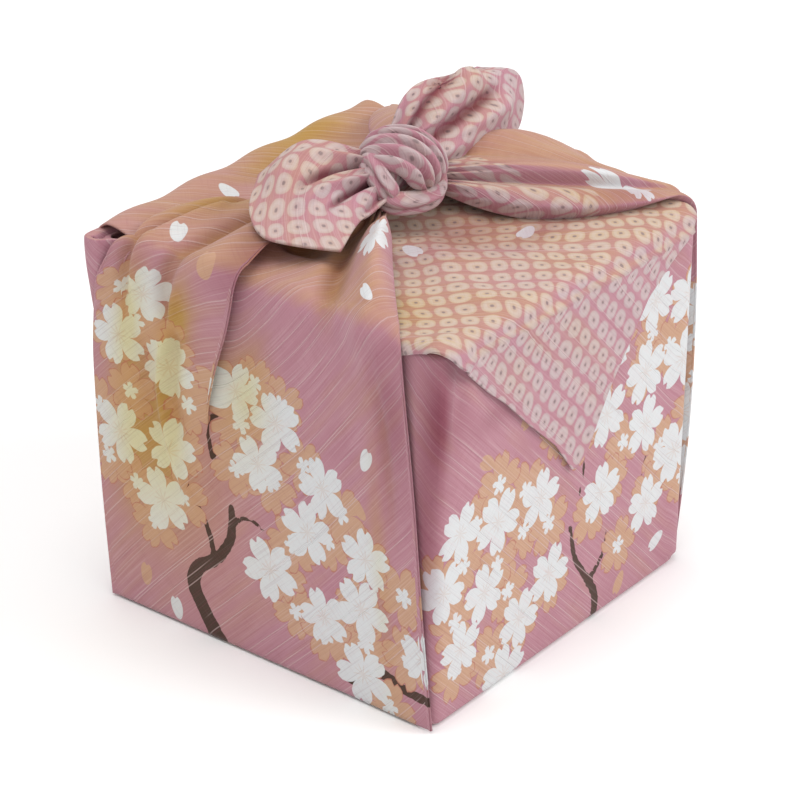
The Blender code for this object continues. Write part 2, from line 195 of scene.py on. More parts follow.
@dataclass(frozen=True)
class Blossoms:
    """Blossoms of one printed layer: centres, turns and radii on the flat cloth."""

    centres: Array
    turns: Array
    radii: Array

    def local(self, flat: Array) -> Array:
        """Give each place of the cloth its coordinates in its nearest blossom.

        They are the offset from the centre, turned by the blossom's turn and divided by its
        radius, and then the length of that offset.

        Args:
            flat: places on the flat cloth, n by 2.

        Returns:
            n by 3 numbers: across, along and distance.
        """
        gap = np.linalg.norm(flat[:, None] - self.centres[None], axis=2) / self.radii
        nearest = np.argmin(gap, axis=1)
        offset = (flat - self.centres[nearest]) / self.radii[nearest, None]
        cosine, sine = np.cos(self.turns[nearest]), np.sin(self.turns[nearest])
        across = offset[:, 0] * cosine + offset[:, 1] * sine
        along = offset[:, 1] * cosine - offset[:, 0] * sine
        return np.stack([across, along, np.hypot(across, along)], axis=1)


@dataclass(frozen=True)
class Wash:
    """A soft oval patch of colour on the flat cloth, used for the gold tints and for patches of painted shade."""

    centre: tuple[float, float]
    reach: tuple[float, float]
    strength: float

    def share(self, flat: Array) -> Array:
        """Give the stain's strength at places of the cloth: e to the minus squared distance."""
        gap = (flat - np.array(self.centre)) / np.array(self.reach)
        return self.strength * np.exp(-(gap ** 2).sum(axis=-1))


@dataclass(frozen=True)
class Crown:
    """An oval cloud of blossoms on the flat cloth."""

    centre: tuple[float, float]
    reach: tuple[float, float]


@dataclass(frozen=True)
class Branch:
    """A printed branch: a line on the flat cloth, its width at both ends and its bare margin."""

    line: tuple[tuple[float, float], ...]
    thick: float
    thin: float
    bare: float = 0.0

    def depth(self, flat: Array) -> Array:
        """Measure how deep each place lies inside the branch.

        That is half the branch's width there less the distance to its middle line.

        Args:
            flat: places on the flat cloth, n by 2.

        Returns:
            Depth in metres, above 0 inside the branch.
        """
        depth = np.full(len(flat), -0.02)
        line = spline(np.asarray(self.line), 14)
        for number in range(len(line) - 1):
            run = line[number + 1] - line[number]
            share = np.clip((flat - line[number]) @ run / (run @ run), 0.0, 1.0)
            gap = np.linalg.norm(flat - line[number] - share[:, None] * run, axis=1)
            place = (number + share) / (len(line) - 1)
            half = 0.5 * (self.thick + (self.thin - self.thick) * place)
            depth = np.maximum(depth, half - gap)
        return depth


def on_left(y: float, z: float) -> tuple[float, float]:
    """Place on the flat cloth of a point of the left face."""
    return (-(WIDTH / 2 + z), y)


def on_right(y: float, z: float) -> tuple[float, float]:
    """Place on the flat cloth of a point of the right face."""
    return (WIDTH / 2 + z, y)


def on_front(x: float, z: float) -> tuple[float, float]:
    """Place on the flat cloth of a point of the front face."""
    return (x, -(DEPTH / 2 + z))


def on_back(x: float, z: float) -> tuple[float, float]:
    """Place on the flat cloth of a point of the back face."""
    return (x, DEPTH / 2 + z)


def on_flap(x: float, z: float) -> tuple[float, float]:
    """Place on the flat cloth of a point of the corner that hangs down the front."""
    return (x, DEPTH / 2 + HEIGHT + DEPTH + HEIGHT - z)


@dataclass
class Print:
    """The cherry print: clouds of blossoms over branches, and loose petals."""

    seed: int = 11
    radius: float = 0.0138
    tries: int = 9000
    crowns: tuple[Crown, ...] = (
        Crown(on_left(0.056, 0.086), (0.046, 0.026)),
        Crown(on_left(0.064, 0.128), (0.017, 0.014)),
        Crown(on_left(0.014, 0.080), (0.044, 0.030)),
        Crown(on_left(-0.024, 0.056), (0.040, 0.026)),
        Crown(on_left(-0.056, 0.034), (0.034, 0.026)),
        Crown(on_left(0.004, 0.116), (0.018, 0.016)),
        Crown(on_front(-0.044, 0.046), (0.042, 0.044)),
        Crown(on_front(0.006, 0.070), (0.028, 0.032)),
        Crown(on_front(0.056, 0.088), (0.036, 0.048)),
        Crown(on_front(0.040, 0.050), (0.036, 0.024)),
        Crown(on_front(0.068, 0.056), (0.018, 0.028)),
        Crown(on_right(-0.083, 0.078), (0.048, 0.010)),
        Crown(on_right(-0.030, 0.060), (0.048, 0.046)),
        Crown(on_right(0.036, 0.086), (0.046, 0.040)),
        Crown(on_back(-0.034, 0.050), (0.048, 0.044)),
        Crown(on_back(0.040, 0.078), (0.046, 0.042)),
    )
    lone_whites: tuple[tuple[float, float, float, float], ...] = (
        (-0.2920, -0.0500, 0.4, 0.0155), (0.2830, -0.0715, 1.2, 0.0125), (*on_left(-0.050, 0.012), 2.0, 0.0135),
    )
    branches: tuple[Branch, ...] = (
        Branch((on_left(0.020, -0.006), on_left(0.028, 0.006), on_left(0.036, 0.020), on_left(0.033, 0.030),
                on_left(0.024, 0.036), on_left(0.016, 0.048), on_left(0.015, 0.062)), 0.0092, 0.0030, 0.0115),
        Branch((on_left(0.024, 0.037), on_left(0.028, 0.052), on_left(0.038, 0.070)), 0.0026, 0.0014, 0.006),
        Branch((on_left(0.016, 0.054), on_left(0.008, 0.060), on_left(-0.001, 0.058)), 0.0024, 0.0014, 0.008),
        Branch((on_left(-0.090, 0.012), on_left(-0.072, 0.013), on_left(-0.058, 0.016), on_left(-0.044, 0.008)),
               0.0040, 0.0054, 0.011),
        Branch((on_left(0.018, 0.104), on_left(0.024, 0.094), on_left(0.022, 0.082)), 0.0013, 0.0028, 0.006),
        Branch((on_front(0.022, -0.004), on_front(0.023, 0.010), on_front(0.016, 0.022), on_front(0.008, 0.034),
                on_front(0.004, 0.050)), 0.0050, 0.0020, 0.010),
        Branch((on_front(0.018, 0.018), on_front(0.028, 0.028), on_front(0.030, 0.038)), 0.0032, 0.0015, 0.007),
        Branch((on_front(0.010, 0.062), on_front(0.013, 0.078)), 0.0018, 0.0014, 0.005),
        Branch((on_front(0.054, 0.052), on_front(0.058, 0.066)), 0.0022, 0.0014, 0.005),
        Branch((on_right(-0.078, 0.050), on_right(-0.070, 0.070), on_right(-0.074, 0.092)), 0.0050, 0.0018, 0.010),
        Branch((on_right(0.010, 0.000), on_right(0.004, 0.022), on_right(0.014, 0.050)), 0.0060, 0.0020, 0.010),
        Branch((on_back(-0.004, 0.000), on_back(0.006, 0.026), on_back(-0.004, 0.056)), 0.0060, 0.0020, 0.010),
    )
    gold: tuple[Wash, ...] = (
        Wash(on_left(0.066, 0.134), (0.022, 0.0070), 1.0),
        Wash(on_left(0.044, 0.134), (0.020, 0.0060), 1.0),
        Wash(on_left(0.046, 0.096), (0.036, 0.0090), 0.75),
        Wash(on_left(0.064, 0.084), (0.036, 0.0110), 0.70),
        Wash(on_left(0.044, 0.070), (0.050, 0.0340), 0.45),
        Wash(on_left(0.008, 0.114), (0.020, 0.0110), 0.8),
        Wash(on_left(-0.062, 0.058), (0.050, 0.0045), 0.35),
        Wash((-0.288, 0.072), (0.020, 0.0120), 0.7),
        Wash((0.036, 0.2440), (0.030, 0.0090), 0.9),
        Wash((0.004, 0.2520), (0.020, 0.0050), 0.5),
        Wash((-0.066, 0.3700), (0.014, 0.0140), 0.6),
        Wash((-0.374, 0.0040), (0.016, 0.0080), 0.35),
    )
    # Painted shade: deep rose patches where shadow falls, beside the left wing's front edge, in the folds of the wings'
    # tops and under the knot.
    deep: tuple[Wash, ...] = (
        Wash(on_front(-0.0800, 0.132), (0.0080, 0.0260), 1.0),
        Wash(on_front(-0.0860, 0.080), (0.0060, 0.0400), 0.7),
        Wash(on_front(-0.0400, 0.120), (0.0240, 0.0060), 0.4),
        Wash((-0.264, 0.026), (0.0200, 0.0080), 0.7),
        Wash(on_left(-0.074, 0.128), (0.0300, 0.0100), 0.5),
        Wash((-0.352, 0.000), (0.0100, 0.0300), 0.30),
        Wash((-0.300, -0.024), (0.0300, 0.0050), 0.5),
        Wash((0.296, -0.078), (0.0300, 0.0060), 0.5),
        Wash((0.004, 0.350), (0.0300, 0.0140), 0.7),
        Wash((0.030, 0.372), (0.0280, 0.0080), 0.5),
    )
    white_petals: tuple[tuple[float, float, float], ...] = (
        (-0.2590, -0.0640, 0.5), (*on_left(-0.058, 0.106), 2.0), (-0.0240, 0.2560, 0.2),
        (-0.2600, 0.0600, 1.0), (-0.0220, 0.3460, 0.3), (0.0210, 0.3680, 1.4),
        (*on_left(0.046, 0.006), 1.4), (0.2880, 0.0300, 0.8), (*on_front(0.066, 0.016), 1.1),
        (*on_right(0.020, 0.140), 1.3), (*on_back(0.010, 0.136), 0.4), (*on_back(-0.060, 0.120), 1.9),
    )
    peach_petals: tuple[tuple[float, float, float], ...] = (
        (-0.2490, 0.0370, 1.1), (*on_left(-0.052, 0.084), 0.7), (*on_front(-0.052, 0.102), 2.2),
        (*on_left(0.062, 0.016), 1.7), (*on_front(0.040, 0.008), 0.5), (*on_front(-0.026, 0.110), 1.0),
        (0.2760, -0.0100, 0.4), (*on_right(-0.050, 0.130), 2.3), (*on_back(0.050, 0.140), 0.9),
    )
    layers: dict[Motif, Blossoms] = field(default_factory=dict)

    def __post_init__(self) -> None:
        """Scatter the blossoms in their clouds, and place the loose petals."""
        draw = np.random.default_rng(self.seed)
        areas = np.array([crown.reach[0] * crown.reach[1] for crown in self.crowns])
        placed: dict[Motif, list[tuple[float, ...]]] = {motif: [] for motif in Motif}
        for attempt in range(self.tries):
            crown = self.crowns[draw.choice(len(areas), p=areas / areas.sum())]
            angle, share = draw.uniform(0, 2 * math.pi), math.sqrt(draw.uniform())
            place = np.array(crown.centre) + share * np.array(crown.reach) * (math.cos(angle), math.sin(angle))
            turn, size = draw.uniform(0, 2 * math.pi), self.radius * draw.uniform(0.90, 1.05)
            white = attempt % 2 == 0
            kinds = WHITES if white else PEACHES
            apart = (1.62 if white else 1.10) * self.radius
            if any(math.dist(place, other[:2]) < apart for motif in kinds for other in placed[motif]):
                continue
            if any(branch.depth(place[None])[0] > -branch.bare * (1.0 if white else 0.8) for branch in self.branches):
                continue
            free = [motif for motif in kinds
                    if all(math.dist(place, other[:2]) > 2.0 * self.radius + 0.003 for other in placed[motif])]
            if free:
                placed[free[attempt // 2 % len(free)]].append((*place, turn, size))
        placed[Motif.WHITE_HIGH] += self.lone_whites
        petal = 0.0042
        placed[Motif.PETAL_WHITE] = [(*one, petal) for one in self.white_petals]
        placed[Motif.PETAL_PEACH] = [(*one, petal) for one in self.peach_petals]
        for motif, rows in placed.items():
            table = np.array(rows)
            self.layers[motif] = Blossoms(table[:, :2], table[:, 2], table[:, 3])

    def dress(self, mesh: bpy.types.Mesh, flat: Array, tone: Array) -> None:
        """Write the print's attributes on a sheet.

        Args:
            mesh: the sheet's mesh.
            flat: its points' places on the flat cloth, n by 2.
            tone: its points' shares of tan painted top light, gold painted crease shade and deep painted shade, n by 3.
        """
        for motif, blossoms in self.layers.items():
            attribute = mesh.attributes.new(motif.value, "FLOAT_VECTOR", "POINT")
            attribute.data.foreach_set("vector", blossoms.local(flat).astype(np.float32).ravel())
        # Gold: the greater of the gold tints and the gold shade painted into crease troughs.
        gold = np.maximum(tone[:, 1], sum(wash.share(flat) for wash in self.gold))
        # Painted shade: the sheet's cleft shade plus the deep shade patches.
        deep = tone[:, 2] + sum(wash.share(flat) for wash in self.deep)
        packed = np.clip(np.stack([tone[:, 0], gold, deep], axis=1), 0.0, 1.0)
        attribute = mesh.attributes.new(TONE_NAME, "FLOAT_VECTOR", "POINT")
        attribute.data.foreach_set("vector", packed.astype(np.float32).ravel())
        bark = np.max([branch.depth(flat) for branch in self.branches], axis=0)
        attribute = mesh.attributes.new(BARK_NAME, "FLOAT", "POINT")
        attribute.data.foreach_set("value", bark.astype(np.float32))


class Value:
    """A number socket on which arithmetic adds Math nodes."""

    def __init__(self, graph: "Graph", socket: bpy.types.NodeSocket) -> None:
        """Keep the graph and the output socket."""
        self.graph = graph
        self.socket = socket

    def math(self, operation: str, *others: "Value | float") -> "Value":
        """Add a Math node whose first input is this value."""
        return self.graph.math(operation, self, *others)

    def __add__(self, other: "Value | float") -> "Value":
        """Sum."""
        return self.math("ADD", other)

    __radd__ = __add__

    def __sub__(self, other: "Value | float") -> "Value":
        """Difference."""
        return self.math("SUBTRACT", other)

    def __rsub__(self, other: float) -> "Value":
        """Difference from a number."""
        return self.graph.math("SUBTRACT", other, self)

    def __mul__(self, other: "Value | float") -> "Value":
        """Product."""
        return self.math("MULTIPLY", other)

    __rmul__ = __mul__

    def __truediv__(self, other: "Value | float") -> "Value":
        """Quotient."""
        return self.math("DIVIDE", other)

    def __pow__(self, other: "Value | float") -> "Value":
        """Power."""
        return self.math("POWER", other)

    def absolute(self) -> "Value":
        """Size without sign."""
        return self.math("ABSOLUTE")

    def fraction(self) -> "Value":
        """Part after the whole number."""
        return self.math("FRACT")

    def ease(self, low: float, high: float) -> "Value":
        """Ease from 0 at low to 1 at high, where low may be the greater."""
        settings = {"interpolation_type": "SMOOTHSTEP"}
        if low < high:
            inputs = {"Value": self, "From Min": low, "From Max": high, "To Min": 0.0, "To Max": 1.0}
        else:
            inputs = {"Value": self, "From Min": high, "From Max": low, "To Min": 1.0, "To Max": 0.0}
        return Value(self.graph, self.graph.node("ShaderNodeMapRange", settings, inputs).outputs["Result"])


Input = "Value | bpy.types.NodeSocket | float | tuple[float, ...]"


class Graph:
    """A material's node tree, to which expressions add nodes."""

    MIX_FACTOR = 0
    MIX_A = 6
    MIX_B = 7
    MIX_RESULT = 2

    def __init__(self, name: str) -> None:
        """Make an empty material of this name."""
        self.material = bpy.data.materials.new(name)
        self.material.use_nodes = True
        self.tree = self.material.node_tree
        self.tree.nodes.clear()

    def node(self, kind: str, settings: dict[str, object], inputs: dict[str | int, Input]) -> bpy.types.Node:
        """Add a node: its settings first, then its sockets' values or links.

        Args:
            kind: the node's type name.
            settings: properties of the node.
            inputs: a value or a link for each input socket, by name or number.

        Returns:
            The node.
        """
        node = self.tree.nodes.new(kind)
        for name, value in settings.items():
            setattr(node, name, value)
        for name, value in inputs.items():
            if isinstance(value, Value):
                value = value.socket
            if isinstance(value, bpy.types.NodeSocket):
                self.tree.links.new(value, node.inputs[name])
            else:
                node.inputs[name].default_value = value
        return node

    def math(self, operation: str, *numbers: "Value | float") -> Value:
        """Add a Math node of this operation."""
        node = self.node("ShaderNodeMath", {"operation": operation}, dict(enumerate(numbers)))
        return Value(self, node.outputs[0])

    def mix(self, factor: Input, first: Input, second: Input, blend: str = "MIX") -> bpy.types.NodeSocket:
        """Mix two colours."""
        inputs = {self.MIX_FACTOR: factor, self.MIX_A: first, self.MIX_B: second}
        node = self.node("ShaderNodeMix", {"data_type": "RGBA", "blend_type": blend}, inputs)
        return node.outputs[self.MIX_RESULT]

    def split(self, vector: bpy.types.NodeSocket) -> tuple[Value, Value, Value]:
        """Take a vector apart."""
        node = self.node("ShaderNodeSeparateXYZ", {}, {"Vector": vector})
        return tuple(Value(self, output) for output in node.outputs)

    def join(self, x: "Value | float", y: "Value | float", z: "Value | float" = 0.0) -> bpy.types.NodeSocket:
        """Put a vector together."""
        return self.node("ShaderNodeCombineXYZ", {}, {"X": x, "Y": y, "Z": z}).outputs[0]

    def attribute(self, name: str) -> tuple[Value, Value, Value]:
        """Read a vector attribute, taken apart."""
        return self.split(self.node("ShaderNodeAttribute", {"attribute_name": name}, {}).outputs["Vector"])

    def number(self, name: str) -> Value:
        """Read a number attribute."""
        return Value(self, self.node("ShaderNodeAttribute", {"attribute_name": name}, {}).outputs["Fac"])

    def random(self, place: Input) -> Value:
        """Read a random number that is the same at the same place."""
        node = self.node("ShaderNodeTexWhiteNoise", {"noise_dimensions": "2D"}, {"Vector": place})
        return Value(self, node.outputs["Value"])

    def noise(self, place: Input, scale: float, detail: float = 2.0, rough: float = 0.5) -> Value:
        """Read a noise of this scale at a place."""
        inputs = {"Vector": place, "Scale": scale, "Detail": detail, "Roughness": rough}
        return Value(self, self.node("ShaderNodeTexNoise", {}, inputs).outputs["Fac"])


@dataclass(frozen=True)
class PrintedCotton:
    """Slubbed cotton: a rose ground, the cherry print on its middle, dots in its corners, and painted light and shade
    from the sheets' tone.
    """

    rose: tuple[float, ...] = (0.428, 0.207, 0.252, 1.0)
    deep_rose: tuple[float, ...] = (0.255, 0.060, 0.095, 1.0)
    # tan is the cloth's own uneven tan, and also the painted top light on cloth that faces up.
    tan: tuple[float, ...] = (0.440, 0.250, 0.145, 1.0)
    white: tuple[float, ...] = (0.620, 0.635, 0.645, 1.0)
    peach: tuple[float, ...] = (0.500, 0.300, 0.198, 1.0)
    peach_line: tuple[float, ...] = (0.400, 0.130, 0.095, 1.0)
    bark: tuple[float, ...] = (0.058, 0.030, 0.019, 1.0)
    # The next two colours tint the gold patches and paint gold shade into crease troughs.
    ochre_tint_and_shade: tuple[float, ...] = (0.440, 0.300, 0.060, 1.0)
    gold_tint_and_shade: tuple[float, ...] = (0.90, 0.80, 0.42, 1.0)
    slub: tuple[float, ...] = (0.620, 0.450, 0.450, 1.0)
    dot_pale: tuple[float, ...] = (0.460, 0.340, 0.348, 1.0)
    dot_tan: tuple[float, ...] = (0.510, 0.375, 0.230, 1.0)
    shade: tuple[float, ...] = (0.42, 0.13, 0.21, 1.0)
    dot_heart: tuple[float, ...] = (0.190, 0.140, 0.145, 1.0)
    slub_strips: float = 245.0
    slub_lengths: float = 10.0
    dot_pitch: float = 0.0098
    dot_saving: float = 0.0013
    dots_from: float = 0.318
    roughness: float = 0.88

    def petals(self, graph: Graph, motif: Motif) -> tuple[Value, Value, Value, Value]:
        """Draw a five-petalled blossom from its local coordinates.

        In each fifth of a turn, away runs from 0 on the petal's middle line to 1 between
        petals. The outline's radius is waist plus (1 less waist) times (1 less away to the
        round) to the full, less a notch at the petal's tip.

        Args:
            graph: the material's graph.
            motif: the printed layer.

        Returns:
            The depth inside the outline, away, the distance from the centre, and the turn.
        """
        waist, round_power, full_power = (0.46, 2.4, 0.60) if motif in PEACHES else (0.40, 2.1, 0.70)
        across, along, distance = graph.attribute(motif.value)
        turn = graph.math("ARCTAN2", along, across) * (5.0 / (2.0 * math.pi))
        away = (turn.fraction() - 0.5).absolute() * 2.0
        body = (1.0 - away ** round_power).math("MAXIMUM", 0.0) ** full_power
        notch = away.ease(0.22, 0.0) * 0.16
        return body * (1.0 - waist) + waist - notch - distance, away, distance, turn

    def loose_petal(self, graph: Graph, motif: Motif) -> Value:
        """Draw a loose petal: an egg whose tip is notched.

        Args:
            graph: the material's graph.
            motif: the printed layer.

        Returns:
            The petal's mask.
        """
        across, along, distance = graph.attribute(motif.value)
        side = across.absolute()
        egg = (along * along * 0.62 + side * side * (1.9 - along * 0.5)).math("SQRT")
        return (egg + side.ease(0.3, 0.0) * along.ease(0.5, 1.1) * 0.25).ease(1.03, 0.95) * distance.ease(1.9, 1.7)

    def blossoms(self, graph: Graph, colour: Input, motif: Motif, ruffle: Value) -> bpy.types.NodeSocket:
        """Print one layer of blossoms over a colour.

        Args:
            graph: the material's graph.
            colour: what lies below.
            motif: the printed layer.
            ruffle: a small unevenness of the outlines.

        Returns:
            The colour with the layer.
        """
        depth, away, distance, turn = self.petals(graph, motif)
        inside = (depth + ruffle).ease(-0.015, 0.015)
        if motif in PEACHES:
            rim = (depth + ruffle).ease(0.07, 0.02)
            painted = graph.mix(rim * 0.75, self.peach, self.peach_line)
            points = ((turn * 2.0).fraction() - 0.5).absolute() * 2.0
            star = (0.15 + (1.0 - away) ** 1.2 * 0.17 + (1.0 - points) ** 1.5 * 0.07 - distance + ruffle).ease(-0.02, 0.02)
            painted = graph.mix(star, painted, self.white)
            return graph.mix(inside, colour, painted)
        vein = (away * distance).ease(0.05, 0.02) * distance.ease(0.40, 0.24)
        joint = ((1.0 - away) * distance).ease(0.05, 0.015) * distance.ease(0.36, 0.26)
        heart = distance.ease(0.09, 0.05)
        lines = vein.math("MAXIMUM", joint).math("MAXIMUM", heart)
        painted = graph.mix(lines * 0.24, self.white, self.peach)
        return graph.mix(inside, colour, painted)

    def dots(self, graph: Graph, along: Value, across: Value, tan: Value, small: Value) -> bpy.types.NodeSocket:
        """Print rows of tie-dyed dots: rounded squares with a dark heart, a little uneven.

        Args:
            graph: the material's graph.
            along: place along the weft, in metres.
            across: place across it, in metres.
            tan: how tan the cloth is here, partly its own tint and partly painted top light.
            small: 1 where the dots are smaller, in the front and back corners.

        Returns:
            The colour of the dotted corner.
        """
        place = graph.join(along, across)
        pitch = self.dot_pitch - small * self.dot_saving
        sway = graph.noise(place, 26.0, 1.0) - 0.5
        drift = graph.noise(graph.join(along + 0.37, across + 0.71), 26.0, 1.0) - 0.5
        first = ((along + sway * 0.012) / pitch).fraction() - 0.5
        second = ((across + drift * 0.012) / pitch).fraction() - 0.5
        power = 2.5
        size = (first.absolute() ** power + second.absolute() ** power) ** (1.0 / power)
        wobble = (graph.noise(place, 420.0, 1.0) - 0.5) * 0.05
        inside = (size + wobble).ease(0.455, 0.395)
        hole = (size + wobble * 0.6).ease(0.120, 0.045)
        halo = (size + wobble).ease(0.14, 0.24) * (size + wobble).ease(0.40, 0.28)
        # Tan dots and ground where the cloth is tan, which is partly painted top light.
        pale = graph.mix(tan, self.dot_pale, self.dot_tan)
        pale = graph.mix(halo * 0.16, pale, self.white)
        ground = graph.mix(tan, self.rose, graph.mix(0.12, self.tan, self.deep_rose))
        return graph.mix(hole * 0.8, graph.mix(inside, ground, pale), self.dot_heart)

    def slubs(self, graph: Graph, along: Value, across: Value) -> Value:
        """Pick some threads to be thick and pale, each in broken lengths.

        The cloth is cut into narrow strips by the whole part of across times their count a
        metre. Each has one thread, at a place of its own across it, in lengths cut by the
        whole part of along times a rate. A bit more than half the lengths are thick.

        Args:
            graph: the material's graph.
            along: place along the threads, in metres.
            across: place across them, in metres.

        Returns:
            1 on the middle of a thick length, 0 off it.
        """
        place = across * self.slub_strips
        strip = place.math("FLOOR")
        middle = graph.random(graph.join(strip, 3.0)) * 0.8 + 0.1
        run = along * self.slub_lengths + graph.random(graph.join(strip, 7.0)) * 9.0
        picked = graph.random(graph.join(strip, run.math("FLOOR"))).ease(0.42, 0.60)
        ends = (run.fraction() - 0.5).absolute().ease(0.50, 0.34)
        return picked * ends * (place.fraction() - middle).absolute().ease(0.085, 0.025)

    def material(self, name: str) -> bpy.types.Material:
        """Make the cloth's material.

        Args:
            name: the material's name.

        Returns:
            The material.
        """
        graph = Graph(name)
        uv = graph.node("ShaderNodeUVMap", {"uv_map": UV_NAME}, {}).outputs["UV"]
        u, v, _ = graph.split(uv)
        along = (u + v) * math.sqrt(0.5)
        across = (u - v) * math.sqrt(0.5)
        # The sheets' tone: tan painted top light, gold painted crease shade with the gold patches, and deep painted
        # shade.
        tan, gold_and_crease_shade, deep = graph.attribute(TONE_NAME)
        cloud = graph.noise(uv, 22.0, 2.0)
        stripe = graph.noise(graph.join(along * 5.0, across * 150.0), 1.0, 2.0)
        # Tan: the sheets' painted top light plus the cloth's own uneven tan from the noises.
        tan = (tan * 0.9 + (cloud - 0.5) * 1.1 + (stripe - 0.5) * 0.9).math("MAXIMUM", 0.0).math("MINIMUM", 1.0)
        ground = graph.mix(tan, self.rose, self.tan)
        ground = graph.mix(graph.noise(uv, 60.0, 3.0).ease(0.40, 0.75) * 0.12, ground, self.deep_rose)
        # Painted shade: a yellow-brown mix in crease troughs, also over the gold patches.
        ground = graph.mix(gold_and_crease_shade * 0.70, ground, self.ochre_tint_and_shade)
        ruffle = (graph.noise(uv, 360.0, 2.0) - 0.5) * 0.125
        bark = graph.number(BARK_NAME) * 1000.0 + (graph.noise(uv, 240.0, 2.0) - 0.5) * 1.6
        wood = bark.ease(-0.12, 0.12)
        colour = graph.mix(wood, ground, self.bark)
        for motif in PEACHES + WHITES:
            colour = self.blossoms(graph, colour, motif, ruffle)
        corner = u.absolute().math("MAXIMUM", v.absolute()).ease(self.dots_from - 0.0006, self.dots_from + 0.0006)
        small = (v.absolute() - u.absolute()).ease(-0.0005, 0.0005)
        colour = graph.mix(corner, colour, self.dots(graph, along, across, tan, small))
        colour = graph.mix(self.loose_petal(graph, Motif.PETAL_PEACH), colour, self.peach)
        colour = graph.mix(self.loose_petal(graph, Motif.PETAL_WHITE), colour, self.white)
        fine = graph.noise(graph.join(along * 26.0, across * 1700.0), 1.0, 1.0)
        weft = graph.noise(graph.join(along * 1800.0, across * 60.0), 1.0, 1.0)
        slubs = self.slubs(graph, along, across)
        colour = graph.mix(fine.ease(0.50, 0.75) * (0.26 - wood * 0.21), colour, self.slub)
        colour = graph.mix(fine.ease(0.48, 0.25) * 0.20, colour, self.deep_rose)
        colour = graph.mix(weft.ease(0.50, 0.20) * 0.10, colour, self.deep_rose)
        colour = graph.mix(slubs * 0.44, colour, self.slub, "LIGHTEN")
        # Painted shade: a gold multiply in crease troughs, and over the gold patches.
        colour = graph.mix(gold_and_crease_shade * 0.9, colour, graph.mix(1.0, colour, self.gold_tint_and_shade, "MULTIPLY"))
        # Painted shade: a deep rose multiply in clefts, grooves and the shade patches.
        colour = graph.mix(deep * 0.80, colour, graph.mix(1.0, colour, self.shade, "MULTIPLY"))
        height = slubs * 0.7 + fine * 0.5 + weft * 0.35 + graph.noise(uv, 90.0, 3.0) * 1.1
        bump = graph.node("ShaderNodeBump", {}, {"Strength": 0.5, "Distance": 0.0005, "Height": height})
        shader = graph.node("ShaderNodeBsdfPrincipled", {}, {
            "Base Color": colour,
            "Roughness": self.roughness,
            "Specular IOR Level": 0.25,
            "Sheen Weight": 0.12,
            "Sheen Roughness": 0.5,
            "Normal": bump.outputs["Normal"],
        })
        graph.node("ShaderNodeOutputMaterial", {}, {"Surface": shader.outputs[0]})
        return graph.material


@dataclass(frozen=True)
class PaleWood:
    """Unvarnished pale wood with straight grain, for the box inside the wrap."""

    light: tuple[float, ...] = (0.66, 0.53, 0.36, 1.0)
    dark: tuple[float, ...] = (0.50, 0.37, 0.22, 1.0)
    roughness: float = 0.7

    def material(self, name: str) -> bpy.types.Material:
        """Make the wood's material.

        Args:
            name: the material's name.

        Returns:
            The material.
        """
        graph = Graph(name)
        place = graph.node("ShaderNodeTexCoord", {}, {}).outputs["Object"]
        x, y, z = graph.split(place)
        grain = graph.noise(graph.join(x * 6.0, y * 160.0, z * 160.0), 1.0, 4.0, 0.6)
        colour = graph.mix(grain.ease(0.35, 0.7), self.light, self.dark)
        bump = graph.node("ShaderNodeBump", {}, {"Strength": 0.3, "Distance": 0.0003, "Height": grain})
        shader = graph.node("ShaderNodeBsdfPrincipled", {}, {
            "Base Color": colour,
            "Roughness": self.roughness,
            "Normal": bump.outputs["Normal"],
        })
        graph.node("ShaderNodeOutputMaterial", {}, {"Surface": shader.outputs[0]})
        return graph.material


